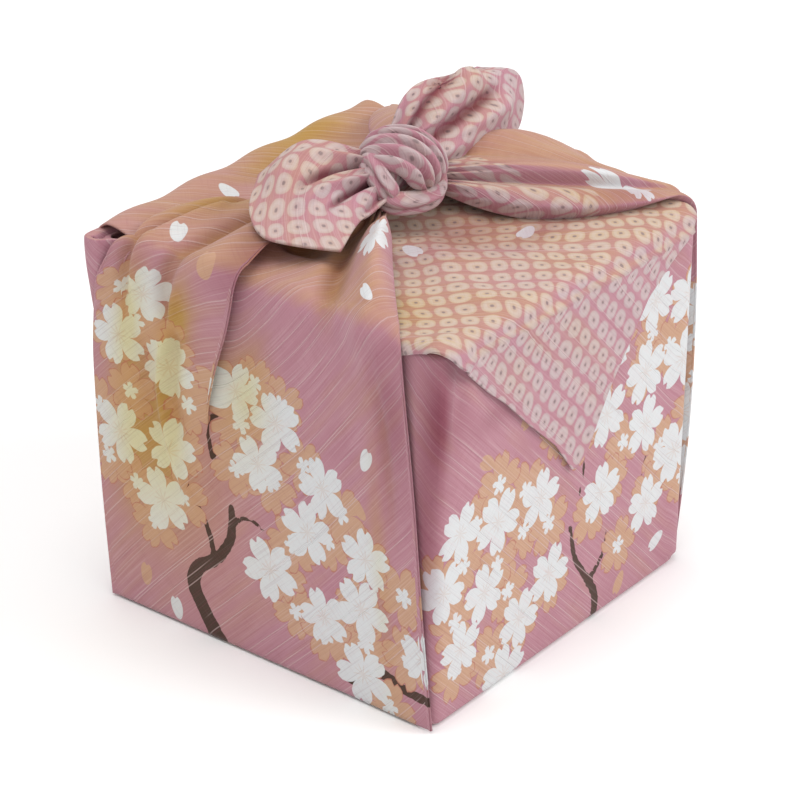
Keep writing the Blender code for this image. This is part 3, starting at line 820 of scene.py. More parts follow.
@dataclass
class Sheet:
    """A piece of the cloth: a grid of points, their places on the flat cloth and their tone, which holds painted light
    and shade.
    """

    name: str
    points: Array
    flat: Array
    outward: Point
    # Painted light and shade: the gold share is shade in crease troughs, the cleft share is shade in clefts and
    # grooves, and the gain sets the tan top light on cloth that faces up.
    gold_and_crease_shade: Array | float = 0.0
    cleft: Array | float = 0.0
    top_light_gain: float = 0.85
    thickness: float = COTTON
    closed: bool = False

    def faces(self) -> Array:
        """List the grid's four-sided faces, turned so that they look outward."""
        rows, columns = self.points.shape[:2]
        corner = np.arange(rows * columns).reshape(rows, columns)
        if self.closed:
            corner = np.concatenate([corner, corner[:, :1]], axis=1)
        faces = np.stack([corner[:-1, :-1], corner[1:, :-1], corner[1:, 1:], corner[:-1, 1:]], axis=-1)
        normal = np.cross(np.gradient(self.points, axis=0), np.gradient(self.points, axis=1))
        if self.closed:
            middle = self.points.mean(axis=(0, 1))
            outward = np.sum(normal * (self.points - middle), axis=2).mean()
        else:
            outward = (normal @ np.asarray(self.outward, float)).mean()
        faces = faces.reshape(-1, 4)
        return faces[:, ::-1] if outward < 0 else faces

    def tone(self) -> Array:
        """Work out the shares of painted light and shade: tan top light where the cloth looks up, gold shade in crease
        troughs and deep shade in the clefts.
        """
        normal = grid_normals(self.points, self.outward)
        # Painted top light: tan by how much the cloth faces up.
        tan = self.top_light_gain * smooth_step(0.15, 0.95, normal[..., 2])
        return np.stack(np.broadcast_arrays(tan, self.gold_and_crease_shade, self.cleft), axis=-1).reshape(-1, 3)

    def flat_area(self) -> float:
        """Add up the area of the grid's cells on the flat cloth, in square metres.

        A cell that crosses a seam of the layout counts with its own area.
        """
        first = np.diff(self.flat, axis=0)[:, :-1]
        second = np.diff(self.flat, axis=1)[:-1]
        laid = np.abs(first[..., 0] * second[..., 1] - first[..., 1] * second[..., 0])
        sides = np.diff(self.points, axis=0)[:, :-1], np.diff(self.points, axis=1)[:-1]
        own = np.linalg.norm(np.cross(*sides), axis=2)
        return float(np.where(laid > 4 * own + 1e-9, own, laid).sum())

    def build(self, cherry: Print, material: bpy.types.Material) -> bpy.types.Object:
        """Make the sheet's mesh object.

        Args:
            cherry: the print that is laid on it.
            material: the cloth's material.

        Returns:
            The object, with its thickness as a modifier.
        """
        mesh = bpy.data.meshes.new(self.name)
        faces = self.faces()
        mesh.from_pydata(self.points.reshape(-1, 3), [], faces)
        flat = self.flat.reshape(-1, 2)
        layer = mesh.uv_layers.new(name=UV_NAME)
        layer.data.foreach_set("uv", flat[faces.ravel()].astype(np.float32).ravel())
        cherry.dress(mesh, flat, self.tone())
        mesh.shade_smooth()
        mesh.materials.append(material)
        piece = bpy.data.objects.new(self.name, mesh)
        bpy.context.scene.collection.objects.link(piece)
        wall = piece.modifiers.new("Thickness", "SOLIDIFY")
        wall.thickness = self.thickness
        wall.offset = -1.0
        wall.use_even_offset = False
        return piece


@dataclass
class Walls:
    """The walls and the base: a rounded box, open under the flap.

    A ring with rounded corners is carried down the walls, round the bottom edge
    and in to the middle of the base.
    """

    half_x: float = WIDTH / 2 - LAYER - SLIT
    half_y: float = DEPTH / 2
    top: float = HEIGHT - 2 * (LAYER + SLIT)
    corner: float = 0.0045
    edge: float = 0.0030
    ring_steps: int = 300
    wall_rows: int = 84
    edge_rows: int = 7
    base_rows: int = 12
    folds: tuple[Crease, ...] = (
        Crease(((-0.0785, -0.0830, 0.143), (-0.0790, -0.0830, 0.130), (-0.0805, -0.0830, 0.110),
                (-0.0820, -0.0830, 0.070)), 0.0050, 0.0028, 0.3),
        Crease(((0.0810, -0.0810, 0.156), (0.0810, -0.0810, 0.080), (0.0810, -0.0810, -0.010)), 0.0070, 0.0018, 1.0),
        Crease(((-0.0690, -0.0830, 0.146), (-0.0710, -0.0830, 0.130), (-0.0740, -0.0830, 0.100)),
               0.0040, -0.0018, 0.4),
        Crease(((-0.0640, -0.0830, 0.136), (-0.0560, -0.0830, 0.116), (-0.0440, -0.0830, 0.090)),
               0.0060, 0.0012, 0.3),
    )

    def ring(self) -> tuple[Array, Array]:
        """Walk round the box's outline, counted from the middle of the front.

        Returns:
            The outline's x and y, steps by 2, and the walked distance, from -half to half.
        """
        straight_x = 2 * (self.half_x - self.corner)
        straight_y = 2 * (self.half_y - self.corner)
        bend = math.pi / 2 * self.corner
        round_trip = 2 * (straight_x + straight_y) + 4 * bend
        walked = (np.arange(self.ring_steps) + 0.5) / self.ring_steps * round_trip - round_trip / 2
        fine = np.linspace(0.0, 1.0, 9)
        start, end = -math.pi / 2, 0.0
        pieces = [np.array([[0.0, -self.half_y]])]
        for centre, turn in (((1, -1), 0.0), ((1, 1), 1.0), ((-1, 1), 2.0), ((-1, -1), 3.0)):
            angle = start + turn * math.pi / 2 + fine * (end - start)
            middle = np.array([centre[0] * (self.half_x - self.corner), centre[1] * (self.half_y - self.corner)])
            pieces.append(middle + self.corner * np.stack([np.cos(angle), np.sin(angle)], axis=1))
        pieces.append(np.array([[0.0, -self.half_y]]))
        line = np.concatenate(pieces)
        length = np.concatenate([[0.0], np.cumsum(np.linalg.norm(np.diff(line, axis=0), axis=1))])
        place = np.mod(walked, length[-1])
        outline = np.stack([np.interp(place, length, line[:, k]) for k in range(2)], axis=1)
        return outline, walked

    def sheet(self) -> Sheet:
        """Carry the ring down the walls and in under the base.

        Returns:
            The sheet.
        """
        outline, walked = self.ring()
        turn = np.linspace(0.0, math.pi / 2, self.edge_rows)[1:]
        lip = np.linspace(0.0, math.pi / 2, self.edge_rows)[:-1]
        drop = np.concatenate([
            self.top - self.edge * (1 - np.sin(lip)),
            np.linspace(self.top - self.edge, self.edge, self.wall_rows),
            self.edge * (1 - np.sin(turn)),
            np.zeros(self.base_rows),
        ])
        drop[: len(lip)] = self.top - self.edge + self.edge * np.cos(lip)
        inset = np.concatenate([
            self.edge * (1 - np.sin(lip)),
            np.zeros(self.wall_rows),
            self.edge * (1 - np.cos(turn)),
            self.edge + (self.half_y - self.edge) * np.linspace(0.0, 1.0, self.base_rows + 1)[1:] * 0.995,
        ])
        share = 1.0 - inset[:, None, None] / np.array([self.half_x, self.half_y])
        flat_ring = outline[None] * share
        height = np.repeat(drop[:, None], self.ring_steps, axis=1)
        points = np.concatenate([flat_ring, height[..., None]], axis=2)
        normal = np.concatenate([outline / np.array([self.half_x, self.half_y]), np.zeros((len(outline), 1))], axis=1)
        normal = np.where(np.abs(normal) > 0.9, np.sign(normal), 0.0)
        normal /= np.linalg.norm(normal, axis=1, keepdims=True) + 1e-9
        outward = np.broadcast_to(normal[None], points.shape)
        lift = sum(fold.lift(points, outward) for fold in self.folds)
        points = points + lift[..., None] * outward * (drop > self.edge)[:, None, None]
        down = np.concatenate([[0.0], np.cumsum(np.hypot(np.diff(drop), np.diff(inset)))])
        near_front = np.abs(walked) < self.half_x + 0.045
        back_walk = np.mod(walked, walked[-1] - walked[0] + walked[1] - walked[0])
        back_walk = back_walk - back_walk.mean()
        rise = self.top - down[:, None] + self.edge * 0.43
        flat_u = np.where(near_front[None], walked[None], -back_walk[None]) * share[..., 0]
        flat_v = np.where(near_front[None], -(DEPTH / 2 + rise), DEPTH / 2 + rise)
        flat = np.stack([flat_u, np.broadcast_to(flat_v, flat_u.shape)], axis=2)
        return Sheet("walls_and_base", points, flat, (0, 0, -1), closed=True, top_light_gain=0.3)


@dataclass
class Flap:
    """The back corner: up the back, over the lid and down the front to its point.

    A profile in y and z is carried across x, between a left and a right edge that
    close in on the point. What is wider than the lid turns down over its side edges.
    """

    face_y: float = DEPTH / 2 + SLIT + LAYER
    face_z: float = HEIGHT - LAYER - SLIT
    back_bend: float = 0.0045
    front_bend: float = 0.0070
    side_bend: float = 0.0032
    half: float = 0.0842
    columns: int = 124
    left_edge: tuple[tuple[float, float], ...] = (
        (0.160, -0.0850), (0.156, -0.0795), (0.1433, -0.0650), (0.1330, -0.0540), (0.124, -0.0430),
        (0.1095, -0.0285), (0.0927, -0.0100), (0.0775, 0.0015),
    )
    right_edge: tuple[tuple[float, float], ...] = (
        (0.160, 0.0852), (0.1570, 0.0830), (0.1517, 0.0777), (0.1464, 0.0696), (0.1396, 0.0597), (0.1328, 0.0495),
        (0.1231, 0.0416), (0.1029, 0.0246), (0.0814, 0.0110), (0.0775, 0.0048),
    )
    folds: tuple[Crease, ...] = (
        Crease(((-0.0840, -0.0845, 0.161), (-0.0760, -0.0845, 0.154), (-0.0660, -0.0845, 0.146)), 0.0095, 0.0024, 0.7),
        Crease(((-0.0600, -0.0845, 0.158), (-0.0440, -0.0845, 0.142), (-0.0240, -0.0845, 0.122)), 0.0080, -0.0009, 0.3),
        Crease(((-0.0800, -0.0400, 0.160), (-0.0720, -0.0640, 0.160), (-0.0640, -0.0780, 0.159)), 0.0045, -0.0014, 0.5),
        Crease(((-0.0880, 0.0790, 0.160), (0.0000, 0.0790, 0.160), (0.0880, 0.0790, 0.160)), 0.0110, 0.0036, 1.0),
        Crease(((0.0200, 0.0000, 0.161), (0.0500, -0.0400, 0.161), (0.0600, -0.0840, 0.150)), 0.0110, 0.0016, 0.8),
        Crease(((-0.0100, -0.0200, 0.161), (-0.0300, -0.0500, 0.161), (-0.0400, -0.0820, 0.158)), 0.0090, 0.0014, 0.8),
        Crease(((0.0200, -0.0300, 0.161), (0.0100, -0.0600, 0.161), (0.0120, -0.0840, 0.140)), 0.0080, -0.0012, 0.7),
    )

    def profile(self) -> tuple[Array, Array]:
        """Trace the middle line of the flap.

        Returns:
            y and z along the line, from the base of the back to the point.
        """
        turn = np.linspace(0.0, math.pi / 2, 9)
        back_y, back_z = self.face_y - self.back_bend, self.face_z - self.back_bend
        front_y, front_z = self.front_bend - self.face_y, self.face_z - self.front_bend
        rise = np.linspace(0.0015, back_z, 70)[:-1]
        over = np.linspace(back_y, front_y, 92)[1:-1]
        fall = np.linspace(front_z, self.left_edge[-1][0], 60)[1:]
        y = np.concatenate([np.full(len(rise), self.face_y), back_y + self.back_bend * np.cos(turn), over,
                            front_y - self.front_bend * np.sin(turn), np.full(len(fall), -self.face_y)])
        z = np.concatenate([rise, back_z + self.back_bend * np.sin(turn), np.full(len(over), self.face_z),
                            front_z + self.front_bend * np.cos(turn), fall])
        return y, z

    def edges(self, y: Array, z: Array) -> tuple[Array, Array]:
        """Find the left and right edge of each row, as widths measured along the cloth."""
        height, left = np.array(self.left_edge[::-1]).T
        on_front = y < -self.face_y + self.front_bend
        skirt = smooth_step(-0.046, -0.060, y) * (1.0 - 0.35 * smooth_step(-0.062, -0.077, y))
        left_x = np.where(on_front, np.interp(z, height, left), -0.0790 - 0.0100 * skirt)
        height, right = np.array(self.right_edge[::-1]).T
        right_x = np.where(on_front, np.interp(z, height, right), 0.0860 + 0.0 * y)
        return left_x, right_x

    def turned_down(self, points: Array, normal: Array) -> Array:
        """Bend what lies beyond the side edges round a quarter circle and on, against the normal."""
        rim = self.half - self.side_bend
        over = np.maximum(np.abs(points[..., 0]) - rim, 0.0)
        angle = np.minimum(over / self.side_bend, math.pi / 2)
        down = self.side_bend * (1 - np.cos(angle)) + np.maximum(over - self.side_bend * math.pi / 2, 0.0)
        across = np.minimum(np.abs(points[..., 0]), rim) + self.side_bend * np.sin(angle)
        turned = points - down[..., None] * normal
        turned[..., 0] = np.sign(points[..., 0]) * across
        return turned

    def sheet(self) -> Sheet:
        """Carry the profile across.

        Returns:
            The sheet.
        """
        y, z = self.profile()
        left, right = self.edges(y, z)
        share = np.linspace(0.0, 1.0, self.columns)
        across = left[:, None] + (right - left)[:, None] * share
        shape = across.shape
        points = np.stack([across, np.broadcast_to(y[:, None], shape), np.broadcast_to(z[:, None], shape)], axis=2)
        run = np.concatenate([[0.0], np.cumsum(np.hypot(np.diff(y), np.diff(z)))])
        flat = np.stack([across, np.broadcast_to((DEPTH / 2 + run)[:, None], shape)], axis=2)
        slope = np.stack([np.zeros(len(y)), np.gradient(z), -np.gradient(y)], axis=1)
        slope /= np.linalg.norm(slope, axis=1, keepdims=True)
        normal = np.broadcast_to(slope[:, None], points.shape)
        lift = sum(fold.lift(points, normal) for fold in self.folds)
        top = smooth_step(0.0, 0.4, normal[..., 2])
        wave = 0.0007 * np.sin(across * 160.0 + y[:, None] * 70.0) * top
        points = self.turned_down(points, normal) + normal * np.maximum(lift + wave, -0.0004)[..., None]
        return Sheet("back_corner", points, flat, (0, 0, 1), top_light_gain=0.80)


@dataclass(frozen=True)
class Thread:
    """A wing's guide thread.

    flat is its place across the flat cloth. levels are its y at the wing's heights, proud how
    far it stands off the face there, bow moves the middle of its run over the lid, and neck is
    where it enters the knot, measured from the level of the lid's edges. slip is how much
    further out on the flat cloth it has come by the time that it enters the knot.
    """

    flat: float
    levels: tuple[float, ...]
    proud: tuple[float, ...]
    bow: Point
    neck: Point
    slip: float = 0.0


@dataclass
class Wing:
    """A side corner of the cloth: a loft across guide threads that rise up the face and gather at the knot."""

    name: str
    side: Side
    heights: tuple[float, ...]
    threads: tuple[Thread, ...]
    creases: tuple[Crease, ...]
    columns: int
    face_rows: int = 86
    bend_rows: int = 9
    top_rows: int = 66
    bend: float = 0.0075
    pleats: float = 9.0
    pleat_depth: float = 0.0009
    pleat_reach: float = 0.034
    # Strength of the gold shade painted into the troughs of the creases.
    crease_gold_shade: float = 0.40
    free_share: float = 0.35

    def path(self, thread: Thread) -> Array:
        """Run a thread up the face, round the top edge and on to the knot.

        The edge is turned by a quadratic curve. The run over the lid is straight, plus
        4 t (1 - t) times the bow.

        Args:
            thread: the guide thread.

        Returns:
            Points from the base to the knot, n by 3.
        """
        side = self.side.value
        proud = thread.proud[-1]
        edge = np.array([side * (WIDTH / 2 + proud), thread.levels[-1], HEIGHT + proud])
        neck = np.array(thread.neck) + (0.0, 0.0, HEIGHT)
        run = (neck - edge) / np.linalg.norm(neck - edge)
        fine = 200
        height = spline(np.asarray(self.heights), fine)
        rise = np.linspace(0.0012, HEIGHT - self.bend, self.face_rows)
        level = np.interp(rise, height, spline(np.asarray(thread.levels), fine))
        out = WIDTH / 2 + np.interp(rise, height, spline(np.asarray(thread.proud), fine))
        face = np.stack([side * out, level, rise], axis=1)
        turn = np.linspace(0.0, 1.0, self.bend_rows + 2)[1:-1, None]
        start = edge + self.bend * run
        bend = (1 - turn) ** 2 * face[-1] + 2 * turn * (1 - turn) * edge + turn ** 2 * start
        place = np.linspace(0.0, 1.0, self.top_rows)[:, None]
        top = start + (neck - start) * place + 4 * place * (1 - place) * np.array(thread.bow)
        return np.concatenate([face, bend, top])

    def sheet(self) -> Sheet:
        """Loft across the threads, then add the creases and the pleats near the knot.

        Pleats lift the sheet by a cosine of the place across it, which fades with the
        distance from the knot.

        Returns:
            The sheet.
        """
        side = self.side.value
        guides = np.stack([self.path(thread) for thread in self.threads])
        points = np.swapaxes(spline(guides, self.columns), 0, 1)
        place, slip = spline(np.array([(thread.flat, thread.slip) for thread in self.threads]), self.columns).T
        run = lengths_along(points, 0)
        typical = np.repeat(np.median(run, axis=1)[:, None], self.columns, axis=1)
        middle = self.columns // 2
        wide = lengths_along(points, 1)
        wide = place[middle] + (wide - wide[:, middle:middle + 1]) * np.sign(place[-1] - place[0])
        place = place[None] + self.free_share * (wide - place[None]) * smooth_step(
            self.face_rows, len(points), np.arange(len(points)))[:, None]
        gain = slip[None] * smooth_step(self.face_rows, len(points) - 0.5 * self.top_rows, np.arange(len(points)))[:, None]
        flat = np.stack([side * (WIDTH / 2 + 0.5 * (run + typical) + gain), place], axis=2)
        normal = grid_normals(points, (side, 0, 1)).mean(axis=1, keepdims=True)
        normal = np.broadcast_to(normal / np.linalg.norm(normal, axis=2, keepdims=True), points.shape)
        rows = np.arange(len(points))[:, None]
        lid = smooth_step(self.face_rows - 2, self.face_rows + self.bend_rows + 6, rows)
        room = (side * points[..., 0] - WIDTH / 2 + 0.0008) * (1.0 - lid) + 0.0080 * lid
        lift = np.maximum(sum(crease.lift(points, normal) for crease in self.creases), -room)
        to_knot = np.linalg.norm(points - points[-1:].mean(axis=1, keepdims=True), axis=2)
        across = np.linspace(0.0, 1.0, self.columns)[None]
        pleat = np.cos(2 * math.pi * self.pleats * (across + 0.04 * np.sin(9 * across)))
        reach = np.exp(-((to_knot / self.pleat_reach) ** 2))
        inner = smooth_step(0.0, 0.16, across) * smooth_step(1.0, 0.84, across)
        total = lift + self.pleat_depth * pleat * reach * inner
        points = points + normal * total[..., None]
        # Painted shade: gold in the creases' troughs, deep rose there and in the pleats' troughs near the knot.
        sunk = np.clip(-lift / 0.0040, 0.0, 1.0)
        cleft = 0.5 * reach * np.clip(-pleat, 0.0, 1.0) + 0.3 * sunk
        return Sheet(self.name, points, flat, (side, 0, 1), gold_and_crease_shade=self.crease_gold_shade * sunk, cleft=cleft)


LEFT_HEIGHTS = (0.0, 0.045, 0.090, 0.118, 0.142, 0.162)
LEFT_THREADS = (
    Thread(0.078, (0.074, 0.077, 0.078, 0.077, 0.072, 0.063), (-0.0012,) * 6, (0.0, 0.012, -0.002),
           (-0.014, 0.012, 0.008)),
    Thread(0.084, (0.080, 0.083, 0.0845, 0.0840, 0.0795, 0.0700), (0.0, 0.0006, 0.0010, 0.0014, 0.0018, 0.002),
           (0.0, 0.018, 0.001), (-0.014, 0.012, 0.010)),
    Thread(0.066, (0.064, 0.066, 0.067, 0.066, 0.063, 0.058), (0.0, 0.0010, 0.0018, 0.0024, 0.003, 0.003),
           (0.0, 0.012, 0.001), (-0.014, 0.011, 0.0135)),
    Thread(0.046, (0.045, 0.046, 0.046, 0.045, 0.041, 0.035), (0.0, 0.0010, 0.0018, 0.0024, 0.003, 0.003),
           (0.0, 0.008, 0.0015), (-0.014, 0.006, 0.0165)),
    Thread(0.034, (0.033, 0.034, 0.035, 0.031, 0.025, 0.020), (0.0, 0.0010, 0.0020, 0.0036, 0.0044, 0.005),
           (0.0, 0.005, 0.0025), (-0.014, 0.003, 0.0180)),
    Thread(0.026, (0.026, 0.026, 0.0265, 0.0200, 0.0120, 0.0070), (0.0, 0.0008, 0.0022, 0.0042, 0.0052, 0.0058),
           (0.0, 0.003, 0.0030), (-0.014, 0.001, 0.0185)),
    Thread(0.022, (0.022, 0.022, 0.0240, 0.0250, 0.0200, 0.0160), (0.0, 0.0004, 0.0010, 0.0018, 0.0026, 0.0030),
           (0.0, 0.004, 0.0005), (-0.014, 0.002, 0.0165)),
    Thread(0.018, (0.018, 0.018, 0.0195, 0.0160, 0.0100, 0.0060), (0.0, 0.0000, 0.0002, 0.0002, 0.0006, 0.0010),
           (0.0, 0.003, -0.001), (-0.014, 0.000, 0.016)),
    Thread(0.004, (0.004, 0.004, 0.004, 0.002, -0.002, -0.005), (0.0, 0.0, 0.0004, 0.0004, 0.0008, 0.0012),
           (0.0, 0.001, 0.000), (-0.014, -0.002, 0.014)),
    Thread(-0.020, (-0.020, -0.020, -0.020, -0.020, -0.021, -0.022), (0.0, 0.0, 0.0004, 0.0008, 0.0014, 0.0020),
           (0.0, 0.0, 0.002), (-0.014, -0.004, 0.013)),
    Thread(-0.044, (-0.044, -0.042, -0.040, -0.039, -0.038, -0.037), (0.0, 0.0, 0.0004, 0.0006, 0.0012, 0.0024),
           (0.0, 0.0, 0.004), (-0.014, -0.005, 0.012)),
    Thread(-0.066, (-0.068, -0.063, -0.0590, -0.0570, -0.0550, -0.0530), (0.0004, 0.0004, 0.0008, 0.0010, 0.0020, 0.004),
           (0.0, 0.0, 0.0055), (-0.014, -0.006, 0.010)),
    Thread(-0.084, (-0.083, -0.078, -0.0740, -0.0710, -0.0685, -0.0667), (0.0002, 0.0002, 0.0002, 0.0002, 0.0004, 0.001),
           (0.0, 0.001, 0.001), (-0.014, -0.006, 0.005)),
    Thread(-0.092, (-0.077, -0.071, -0.0670, -0.0640, -0.0620, -0.0600), (-0.0013,) * 6,
           (0.0, 0.003, -0.001), (-0.014, -0.004, 0.004)),
)
LEFT_CREASES = (
    Crease(((-0.022, 0.002, 0.178), (-0.042, 0.004, 0.174), (-0.064, 0.006, 0.170)), 0.0150, -0.0060, 0.8),
    Crease(((-0.036, -0.020, 0.174), (-0.052, -0.030, 0.171), (-0.073, -0.046, 0.166),
            (-0.0845, -0.057, 0.148), (-0.0845, -0.064, 0.110)), 0.0080, 0.0042),
    Crease(((-0.016, 0.003, 0.178), (-0.034, -0.006, 0.174), (-0.056, -0.018, 0.169), (-0.078, -0.029, 0.164),
            (-0.0845, -0.034, 0.146)), 0.0052, -0.0056, 0.55),
    Crease(((-0.030, 0.040, 0.171), (-0.060, 0.054, 0.168), (-0.080, 0.061, 0.164), (-0.0845, 0.0655, 0.152),
            (-0.0845, 0.068, 0.138), (-0.0845, 0.067, 0.118)), 0.0036, -0.0044),
    Crease(((-0.052, 0.047, 0.170), (-0.078, 0.055, 0.165), (-0.0845, 0.060, 0.154),
            (-0.0845, 0.059, 0.120)), 0.0036, 0.0034),
    Crease(((-0.0700, 0.072, 0.165), (-0.0845, 0.0765, 0.156), (-0.0845, 0.079, 0.140),
            (-0.0845, 0.080, 0.110)), 0.0036, 0.0026),
    Crease(((-0.030, 0.022, 0.175), (-0.060, 0.031, 0.169), (-0.080, 0.039, 0.165), (-0.0845, 0.046, 0.150),
            (-0.0845, 0.045, 0.132), (-0.0845, 0.042, 0.112)), 0.0038, -0.0048),
    Crease(((-0.050, 0.016, 0.172), (-0.082, 0.026, 0.166), (-0.0860, 0.034, 0.140)), 0.0060, 0.0020),
    Crease(((-0.0845, 0.040, 0.146), (-0.0845, 0.048, 0.118), (-0.0845, 0.048, 0.095),
            (-0.0845, 0.041, 0.073), (-0.0845, 0.030, 0.050)), 0.0024, 0.0026, 0.75),
    Crease(((-0.0845, 0.041, 0.128), (-0.0845, 0.043, 0.100), (-0.0845, 0.036, 0.076)), 0.0040, -0.0020, 0.5),
    Crease(((-0.0845, 0.056, 0.118), (-0.0845, 0.055, 0.095), (-0.0845, 0.050, 0.070)), 0.0050, -0.0016, 0.5),
    Crease(((-0.0845, -0.055, 0.155), (-0.0845, -0.060, 0.110), (-0.0845, -0.066, 0.060)), 0.0030, -0.0018, 0.5),
    Crease(((-0.0845, -0.014, 0.158), (-0.0845, -0.010, 0.130), (-0.0845, 0.002, 0.090)), 0.0090, 0.0020, 0.5),
)
RIGHT_HEIGHTS = (0.0, 0.054, 0.108, 0.162)
RIGHT_THREADS = (
    Thread(0.078, (0.074, 0.079, 0.078, 0.066), (-0.0012,) * 4, (0.0, 0.012, 0.000), (0.014, 0.012, 0.008)),
    Thread(0.084, (0.080, 0.0845, 0.0845, 0.072), (0.0, 0.001, 0.0010, 0.002), (0.0, 0.013, 0.002),
           (0.014, 0.012, 0.011)),
    Thread(0.058, (0.058, 0.060, 0.058, 0.052), (0.0, 0.001, 0.0015, 0.003), (0.004, 0.010, 0.006),
           (0.014, 0.010, 0.016)),
    Thread(0.028, (0.028, 0.028, 0.026, 0.022), (0.0, 0.001, 0.0015, 0.003), (0.004, 0.006, 0.008),
           (0.014, 0.006, 0.019)),
    Thread(-0.006, (-0.006, -0.006, -0.008, -0.012), (0.0, 0.001, 0.0015, 0.003), (0.004, 0.000, 0.008),
           (0.014, 0.001, 0.020)),
    Thread(-0.036, (-0.036, -0.037, -0.038, -0.042), (0.0, 0.001, 0.0020, 0.003), (0.002, -0.003, 0.007),
           (0.014, -0.003, 0.018)),
    Thread(-0.058, (-0.058, -0.060, -0.063, -0.066), (0.0, 0.002, 0.0030, 0.003), (-0.001, -0.005, 0.0065),
           (0.015, -0.006, 0.0165)),
    Thread(-0.064, (-0.064, -0.066, -0.070, -0.0735), (0.0, 0.003, 0.0035, 0.0030), (-0.002, -0.0050, 0.0055),
           (0.015, -0.008, 0.0150), 0.004),
    Thread(-0.068, (-0.068, -0.070, -0.074, -0.0755), (0.0, 0.003, 0.0035, 0.0018), (-0.002, -0.0038, 0.0010),
           (0.015, -0.007, 0.0120), 0.014),
    Thread(-0.076, (-0.075, -0.077, -0.079, -0.0785), (0.0, 0.003, 0.0035, 0.0018), (-0.006, -0.0072, 0.0030),
           (0.015, -0.0105, 0.0115), 0.034),
    Thread(-0.084, (-0.080, -0.082, -0.082, -0.081), (0.0, 0.003, 0.0035, 0.001), (-0.010, -0.0102, -0.0005),
           (0.014, -0.010, 0.0090), 0.040),
    Thread(-0.091, (-0.075, -0.076, -0.076, -0.075), (-0.0012, -0.0004, -0.0002, -0.0014), (-0.009, -0.0078, -0.006),
           (0.014, -0.007, 0.007), 0.040),
)
RIGHT_CREASES = (
    Crease(((0.022, -0.002, 0.180), (0.044, -0.022, 0.176), (0.078, -0.052, 0.168), (0.0845, -0.058, 0.140)),
           0.0050, -0.0028),
    Crease(((0.030, 0.012, 0.176), (0.060, 0.026, 0.172), (0.0845, 0.034, 0.157),
            (0.0845, 0.036, 0.110)), 0.0070, 0.0025),
    Crease(((0.030, 0.020, 0.176), (0.060, 0.040, 0.170), (0.0845, 0.052, 0.155),
            (0.0845, 0.054, 0.110)), 0.0070, -0.0022),
    Crease(((0.030, 0.002, 0.179), (0.070, -0.018, 0.172), (0.0845, -0.026, 0.154),
            (0.0845, -0.024, 0.090)), 0.0060, 0.0028),
    Crease(((0.030, -0.004, 0.179), (0.070, -0.002, 0.173), (0.0845, 0.000, 0.154), (0.0845, 0.004, 0.100)),
           0.0050, -0.0024),
)


@dataclass
class SlackCorner:
    """The loose loop of the back cloth round the back left corner, open at its top rim.

    Rings of a few places round the corner are carried up through named heights, and the
    rim is rolled in by curl.
    """

    heights: tuple[float, ...] = (0.112, 0.126, 0.138, 0.149, 0.1592)
    rings: tuple[tuple[tuple[float, float], ...], ...] = (
        ((-0.060, 0.0834), (-0.076, 0.0836), (-0.0830, 0.0826), (-0.0836, 0.0780), (-0.0834, 0.0740), (-0.083, 0.068)),
        ((-0.060, 0.0832), (-0.078, 0.0852), (-0.0850, 0.0838), (-0.0852, 0.0780), (-0.0840, 0.0740), (-0.083, 0.068)),
        ((-0.060, 0.0832), (-0.080, 0.0854), (-0.0866, 0.0842), (-0.0870, 0.0785), (-0.0846, 0.0742), (-0.083, 0.068)),
        ((-0.060, 0.0832), (-0.080, 0.0856), (-0.0878, 0.0846), (-0.0884, 0.0785), (-0.0848, 0.0742), (-0.083, 0.068)),
        ((-0.060, 0.0834), (-0.079, 0.0854), (-0.0880, 0.0848), (-0.0890, 0.0785), (-0.0850, 0.0742), (-0.082, 0.068)),
    )
    curl: tuple[tuple[float, float], ...] = ((0.0012, 0.0006), (0.0030, 0.0000), (0.0042, -0.0030))
    columns: int = 76
    rows: int = 60

    def sheet(self) -> Sheet:
        """Loft through the rings and the rolled rim.

        Returns:
            The sheet.
        """
        rings = [spline(np.array([(x, y, height) for x, y in ring]), self.columns)
                 for ring, height in zip(self.rings, self.heights)]
        along = np.gradient(rings[-1], axis=0)
        inward = np.cross(along, (0.0, 0.0, 1.0))
        inward /= np.linalg.norm(inward, axis=1, keepdims=True)
        inward *= np.sign(inward[self.columns // 2] @ (1.0, -1.0, 0.0))
        rings += [rings[-1] + depth * inward + (0.0, 0.0, rise) for depth, rise in self.curl]
        points = spline(np.stack(rings), self.rows)
        flat = np.stack([-(WIDTH / 2) + 0.02 - lengths_along(points, 1), DEPTH / 2 + lengths_along(points, 0) + 0.11],
                        axis=2)
        return Sheet("slack_corner", points, flat, (-1, 1, 0.3), top_light_gain=0.6)


